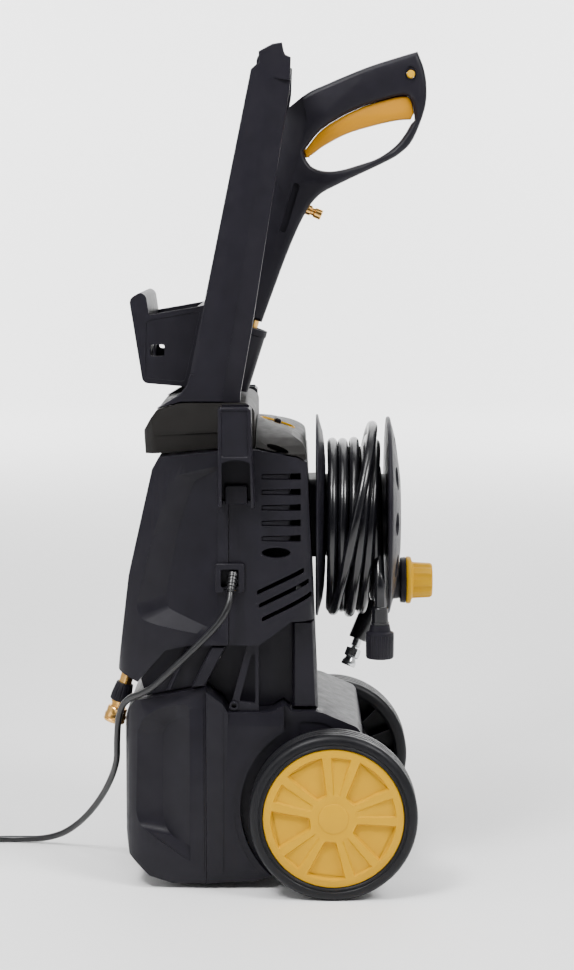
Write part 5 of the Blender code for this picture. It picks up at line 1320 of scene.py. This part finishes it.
def add_reel():
    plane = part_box("reel_inner_flange")[0].x
    start = DRUM[0].x
    bore = 0.0083
    top = start - GAP - plane
    profile = [(bore, 0.0075), (0.062, 0.0075), (0.078, 0.0064), (0.09, 0.0045), (0.101, 0.0018),
               (0.108, 0.0),
               (0.1094, 0.0001), (0.11, 0.0008), (0.11, 0.002), (0.1092, 0.0027), (0.101, 0.0046),
               (0.091, 0.0075), (0.078, 0.0093), (0.062, top), (bore, top)]
    inner = lathe("inner", profile, (plane, 0, REEL_CENTRE), (1, 0, 0), 128)
    cutters = ring_of_rods("hole", 12, math.pi / 12, 0.07, REEL_CENTRE, plane - 0.01, plane + 0.03, 0.0075)
    finish(cut(inner, merged("holes", *cutters)), "inner_flange", "reel_inner_flange", bevel=0.0004)

    length = DRUM[1].x - start
    radius = (DRUM[1].z - DRUM[0].z) / 2
    middle = length / 2
    profile = [(bore, 0), (0.0143, 0), (0.0143, middle - 0.0015), (radius - 0.003, middle - 0.0015),
               (radius - 0.003, 0), (radius, 0), (radius, length), (radius - 0.003, length),
               (radius - 0.003, middle + 0.0015), (0.0143, middle + 0.0015), (0.0143, length), (bore, length)]
    finish(lathe("drum", profile, (start, 0, REEL_CENTRE), (1, 0, 0), 96), "drum", "reel_drum", bevel=0.0004)

    start = REEL[0].x
    edge = (REEL[1].y - REEL[0].y) / 2
    profile = [(bore, 0.0), (0.06, 0.0), (edge - 0.001, 0.0002), (edge, 0.001), (edge, 0.0032),
               (edge - 0.0012, 0.0042), (0.101, 0.0054), (0.096, 0.0068), (0.085, 0.0096), (0.07, 0.0118),
               (0.056, 0.0138), (0.045, 0.0152), (0.018, 0.016), (0.0, 0.0164), (0.0, 0.0124), (bore, 0.0124)]
    outer = lathe("outer", profile, (start, 0, REEL_CENTRE), (1, 0, 0), 128)
    down = -math.pi / 2
    cutters = ring_of_rods("dish", 10, down + math.pi / 10, 0.08, REEL_CENTRE, start + 0.0062, start + 0.03,
                           0.012, 0.015, 40)
    cutters += ring_of_rods("dish", 8, down + math.pi / 8, 0.036, REEL_CENTRE, start + 0.0125, start + 0.03,
                            0.006, 0.008)
    for cutter in cutters:
        cut(outer, cutter)
    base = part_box("crank_knob")[0].x - GAP
    reach = base - 0.006 - start - 0.004
    boss = [(0, 0), (0.0215, 0), (0.02, reach), (0, reach)]
    foot = [(0, 0), (0.024, 0), (0.0248, 0.001), (0.0252, 0.005), (0.0246, 0.006), (0, 0.006)]
    combine(
        outer, "UNION",
        lathe("boss", boss, (start + 0.004, 0, CRANK_Z), (1, 0, 0), 64),
        lathe("base", foot, (base - 0.006, 0, CRANK_Z), (1, 0, 0), 64),
    )
    finish(outer, "outer_flange", "reel_outer_flange", bevel=0.0005)

    low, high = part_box("crank_knob")
    length = high.x - low.x
    profile = [(0, 0), (0.0252, 0), (0.0258, 0.0012), (0.0258, 0.0034), (0.025, 0.0052), (0.0214, 0.0062),
               (0.02, 0.0074), (0.019, length - 0.003), (0.018, length - 0.0008), (0.0168, length),
               (0, length)]
    knob = lathe("knob", profile, (low.x, 0, CRANK_Z), (1, 0, 0), 120)
    for flute in ring_of_rods("flute", 9, 0.0, 0.0238, CRANK_Z, low.x + 0.0078, high.x + 0.004,
                              0.0056, 0.0064, 24):
        cut(knob, flute)
    finish(knob, "knob", "crank_knob", bevel=0.0006, segments=3)


def add_reel_bracket():
    low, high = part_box("reel_bracket")
    outline = filleted(rect(low.y, low.z, high.y, high.z), 0.01, 5)
    middle = (low.z + high.z) / 2
    face = [rear_face(low.z) + GAP, rear_face(high.z) + GAP]
    lean = (face[1] - face[0]) / (high.z - low.z)
    body = layered("bracket", [
        (lambda u, v: face[0] + (v - low.z) * lean, [outline]),
        (high.x - 0.0015, [outline]),
        (high.x, [inset(outline, 0.0015)]),
    ], "front")
    for sign in (-1, 1):
        for end in (-1, 1):
            y, z = sign * 0.029, middle + end * 0.031
            cut(body, rod("screw", (high.x - 0.003, y, z), (high.x + 0.01, y, z), 0.0035, steps=24))
    finish(body, "bracket", "reel_bracket", bevel=0.0006)


# ---- Cord gland and water inlet ----
def add_gland():
    skin = BODY_HALF + GAP
    low, high = GLAND
    x0, z0, x1, z1 = GLAND_LEFT, GLAND_LOW, GLAND_RIGHT, GLAND_HIGH
    lip = filleted(rect(x0 - 0.003, z0 - 0.003, x1 + 0.003, z1 + 0.003), 0.0035, 5)
    body = layered("gland", [(-skin, [lip]), (low.y + 0.001, [lip]), (low.y, [inset(lip, 0.001)])])
    boot = rect(x0 + GAP, z0 + GAP, x1 - GAP, z1 - GAP)
    combine(body, "UNION", prism("boot", boot, "side", low.y + 0.002, high.y))
    well = filleted(rect(x0 + 0.003, z0 + 0.003, x1 - 0.003, z1 - 0.003), 0.002, 3)
    cut(
        body,
        prism("well", well, "side", -0.16, high.y - 0.003),
        prism("outlet", rect(-0.0445, z0 - 0.01, -0.0295, z0 + 0.01), "side", -0.16, -skin + 0.001),
    )
    for i in range(3):
        edge = 0.0046 + 0.0018 * i
        step = rect(x0 + edge, z1 - 0.004 - 0.0022 * i, x1 - edge, z1 - 0.005 - 0.0022 * i)
        combine(body, "UNION", prism("step", step, "side", high.y - 0.0035, high.y - 0.0006))
    cut(body, rod("relief_room", (-0.0347, -0.1236, 0.3395), (-0.0372, -0.1352, 0.32), 0.0062, steps=24))
    finish(body, "gland", "cord_gland", bevel=0.0004)


def add_inlet():
    end = Vector((-0.169, -0.03, 0.161))
    axis = Vector((0.289, 0.0, 0.957)).normalized()
    profile = [(0.0073, 0.0245), (0.0104, 0.0245), (0.0113, 0.0256), (0.0114, 0.0285), (0.0108, 0.0345),
               (0.0094, 0.044), (0.0088, 0.045), (0.0073, 0.045)]
    collar = lathe("collar", profile, end, axis, 90)
    turn = axis.to_track_quat("Z", "Y").to_matrix()
    for i in range(12):
        angle = math.tau * i / 12
        arm = turn @ Vector((math.cos(angle), math.sin(angle), 0))
        low, high = end + arm * 0.0125 + axis * 0.0262, end + arm * 0.0104 + axis * 0.043
        cut(collar, rod("flute", low, high, 0.0013, steps=10))
    finish(collar, "inlet_nut", "inlet_collar", bevel=0.0002)
    profile = [(0.0055, 0.0004), (0.0076, 0.0004), (0.008, 0.001), (0.008, 0.0172), (0.0076, 0.0176),
               (0.0076, 0.019), (0.008, 0.0194), (0.008, 0.0214), (0.009, 0.022), (0.009, 0.024),
               (0.0055, 0.024)]
    finish(lathe("coupler", profile, end, axis, 48), "coupler", "quick_coupler")
    profile = [(0.0083, 0.0), (0.0104, 0.0), (0.0112, 0.0006), (0.0118, 0.0018), (0.0118, 0.003),
               (0.0112, 0.0036), (0.0112, 0.0044), (0.0118, 0.005), (0.0118, 0.0082),
               (0.011, 0.0096), (0.0108, 0.0104),
               (0.0108, 0.0156), (0.0098, 0.017), (0.0083, 0.017)]
    finish(lathe("sleeve", profile, end, axis, 48), "release_sleeve", "coupler_sleeve")


add_hood()
add_cheek()
add_arms()
add_grip()
add_basket()
add_gun_holster()
add_side_holsters()
add_gun_shells()
add_gun_pieces()
for wheel_side, wheel_sign in SIDES:
    add_wheel(wheel_side, wheel_sign)
    add_wheel_cap(wheel_side, wheel_sign)
add_reel()
add_reel_bracket()
add_gland()
add_inlet()


# ---- Floor and light ----
def add_stage():
    """A pale floor that sweeps up into a backdrop, lit by soft boxes from the sides and above."""
    shape = bmesh.new()
    bend_y, bend = 6.2, 1.2
    profile = [(-12.0, 0.0), (bend_y, 0.0)]
    for i in range(1, 13):
        angle = math.pi / 24 * i
        profile.append((bend_y + bend * math.sin(angle), bend - bend * math.cos(angle)))
    profile.append((bend_y + bend, 9.0))
    rows = [[shape.verts.new((x, y, z)) for y, z in profile] for x in (-12.0, 12.0)]
    for i in range(len(profile) - 1):
        shape.faces.new((rows[0][i], rows[1][i], rows[1][i + 1], rows[0][i + 1]))
    sweep = new_object("studio_floor", shape)
    sweep.data.shade_smooth()
    sweep.data.materials.append(material("studio_paper", (0.94, 0.94, 0.94), 0.8, mottle=0.004))
    sweep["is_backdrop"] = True
    world = bpy.data.worlds.new("studio")
    world.use_nodes = True
    nodes, links = world.node_tree.nodes, world.node_tree.links
    place = nodes.new("ShaderNodeTexCoord")
    split = nodes.new("ShaderNodeSeparateXYZ")
    links.new(place.outputs["Generated"], split.inputs["Vector"])
    fade = nodes.new("ShaderNodeMapRange")
    fade.inputs["From Min"].default_value = -0.9
    fade.inputs["From Max"].default_value = -0.2
    fade.inputs["To Min"].default_value = 0.03
    fade.inputs["To Max"].default_value = 0.75
    links.new(split.outputs["Y"], fade.inputs["Value"])
    back = nodes["Background"]
    back.inputs["Color"].default_value = (1.0, 1.0, 1.0, 1.0)
    links.new(fade.outputs["Result"], back.inputs["Strength"])
    bpy.context.scene.world = world
    target = Vector((0.0, 0.0, 0.42))
    backdrop = Vector((0.0, 7.2, 0.6))
    for name, place, aim, size, power in (
        ("key", (1.5, -1.15, 2.1), target, 0.8, 56),
        ("fill", (-2.2, -1.3, 1.3), target, 1.4, 10),
        ("top", (-0.5, -0.5, 2.6), target, 1.0, 24),
        ("upper", (-0.7, -1.1, 1.9), Vector((0.0, 0.0, 0.72)), 0.5, 40),
        ("back", (0.3, 2.0, 2.4), target, 2.0, 34),
        ("backdrop_left", (-2.8, 4.4, 2.4), backdrop, 1.4, 300),
        ("backdrop_right", (2.8, 4.4, 2.4), backdrop, 1.4, 300),
    ):
        lamp = bpy.data.lights.new(name, "AREA")
        lamp.size = size
        lamp.energy = power
        light = bpy.data.objects.new(name, lamp)
        light.location = place
        light.rotation_euler = (aim - Vector(place)).to_track_quat("-Z", "Y").to_euler()
        bpy.context.scene.collection.objects.link(light)


def dress_remaining():
    """The pieces inside keep their CAD shape and get their finish and softened edges."""
    for node, obj in NODES.items():
        if obj.hide_render:
            continue
        obj.data.materials.clear()
        obj.data.materials.append(LOOKS[SLOT_OF[node]])
        obj.data.shade_smooth()
        obj.data.set_sharp_from_angle(angle=math.radians(SHARP_ANGLE))
        edge = obj.modifiers.new("edges", "BEVEL")
        edge.width = 0.0003
        edge.limit_method = "ANGLE"


add_stage()
dress_remaining()


def plain(value):
    """Vectors and tuples as plain lists of numbers."""
    return [plain(v) for v in value] if hasattr(value, "__len__") else float(value)


VISUAL_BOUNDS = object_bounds()
{"cad": plain(CAD_BOUNDS), "visual": plain(VISUAL_BOUNDS)}
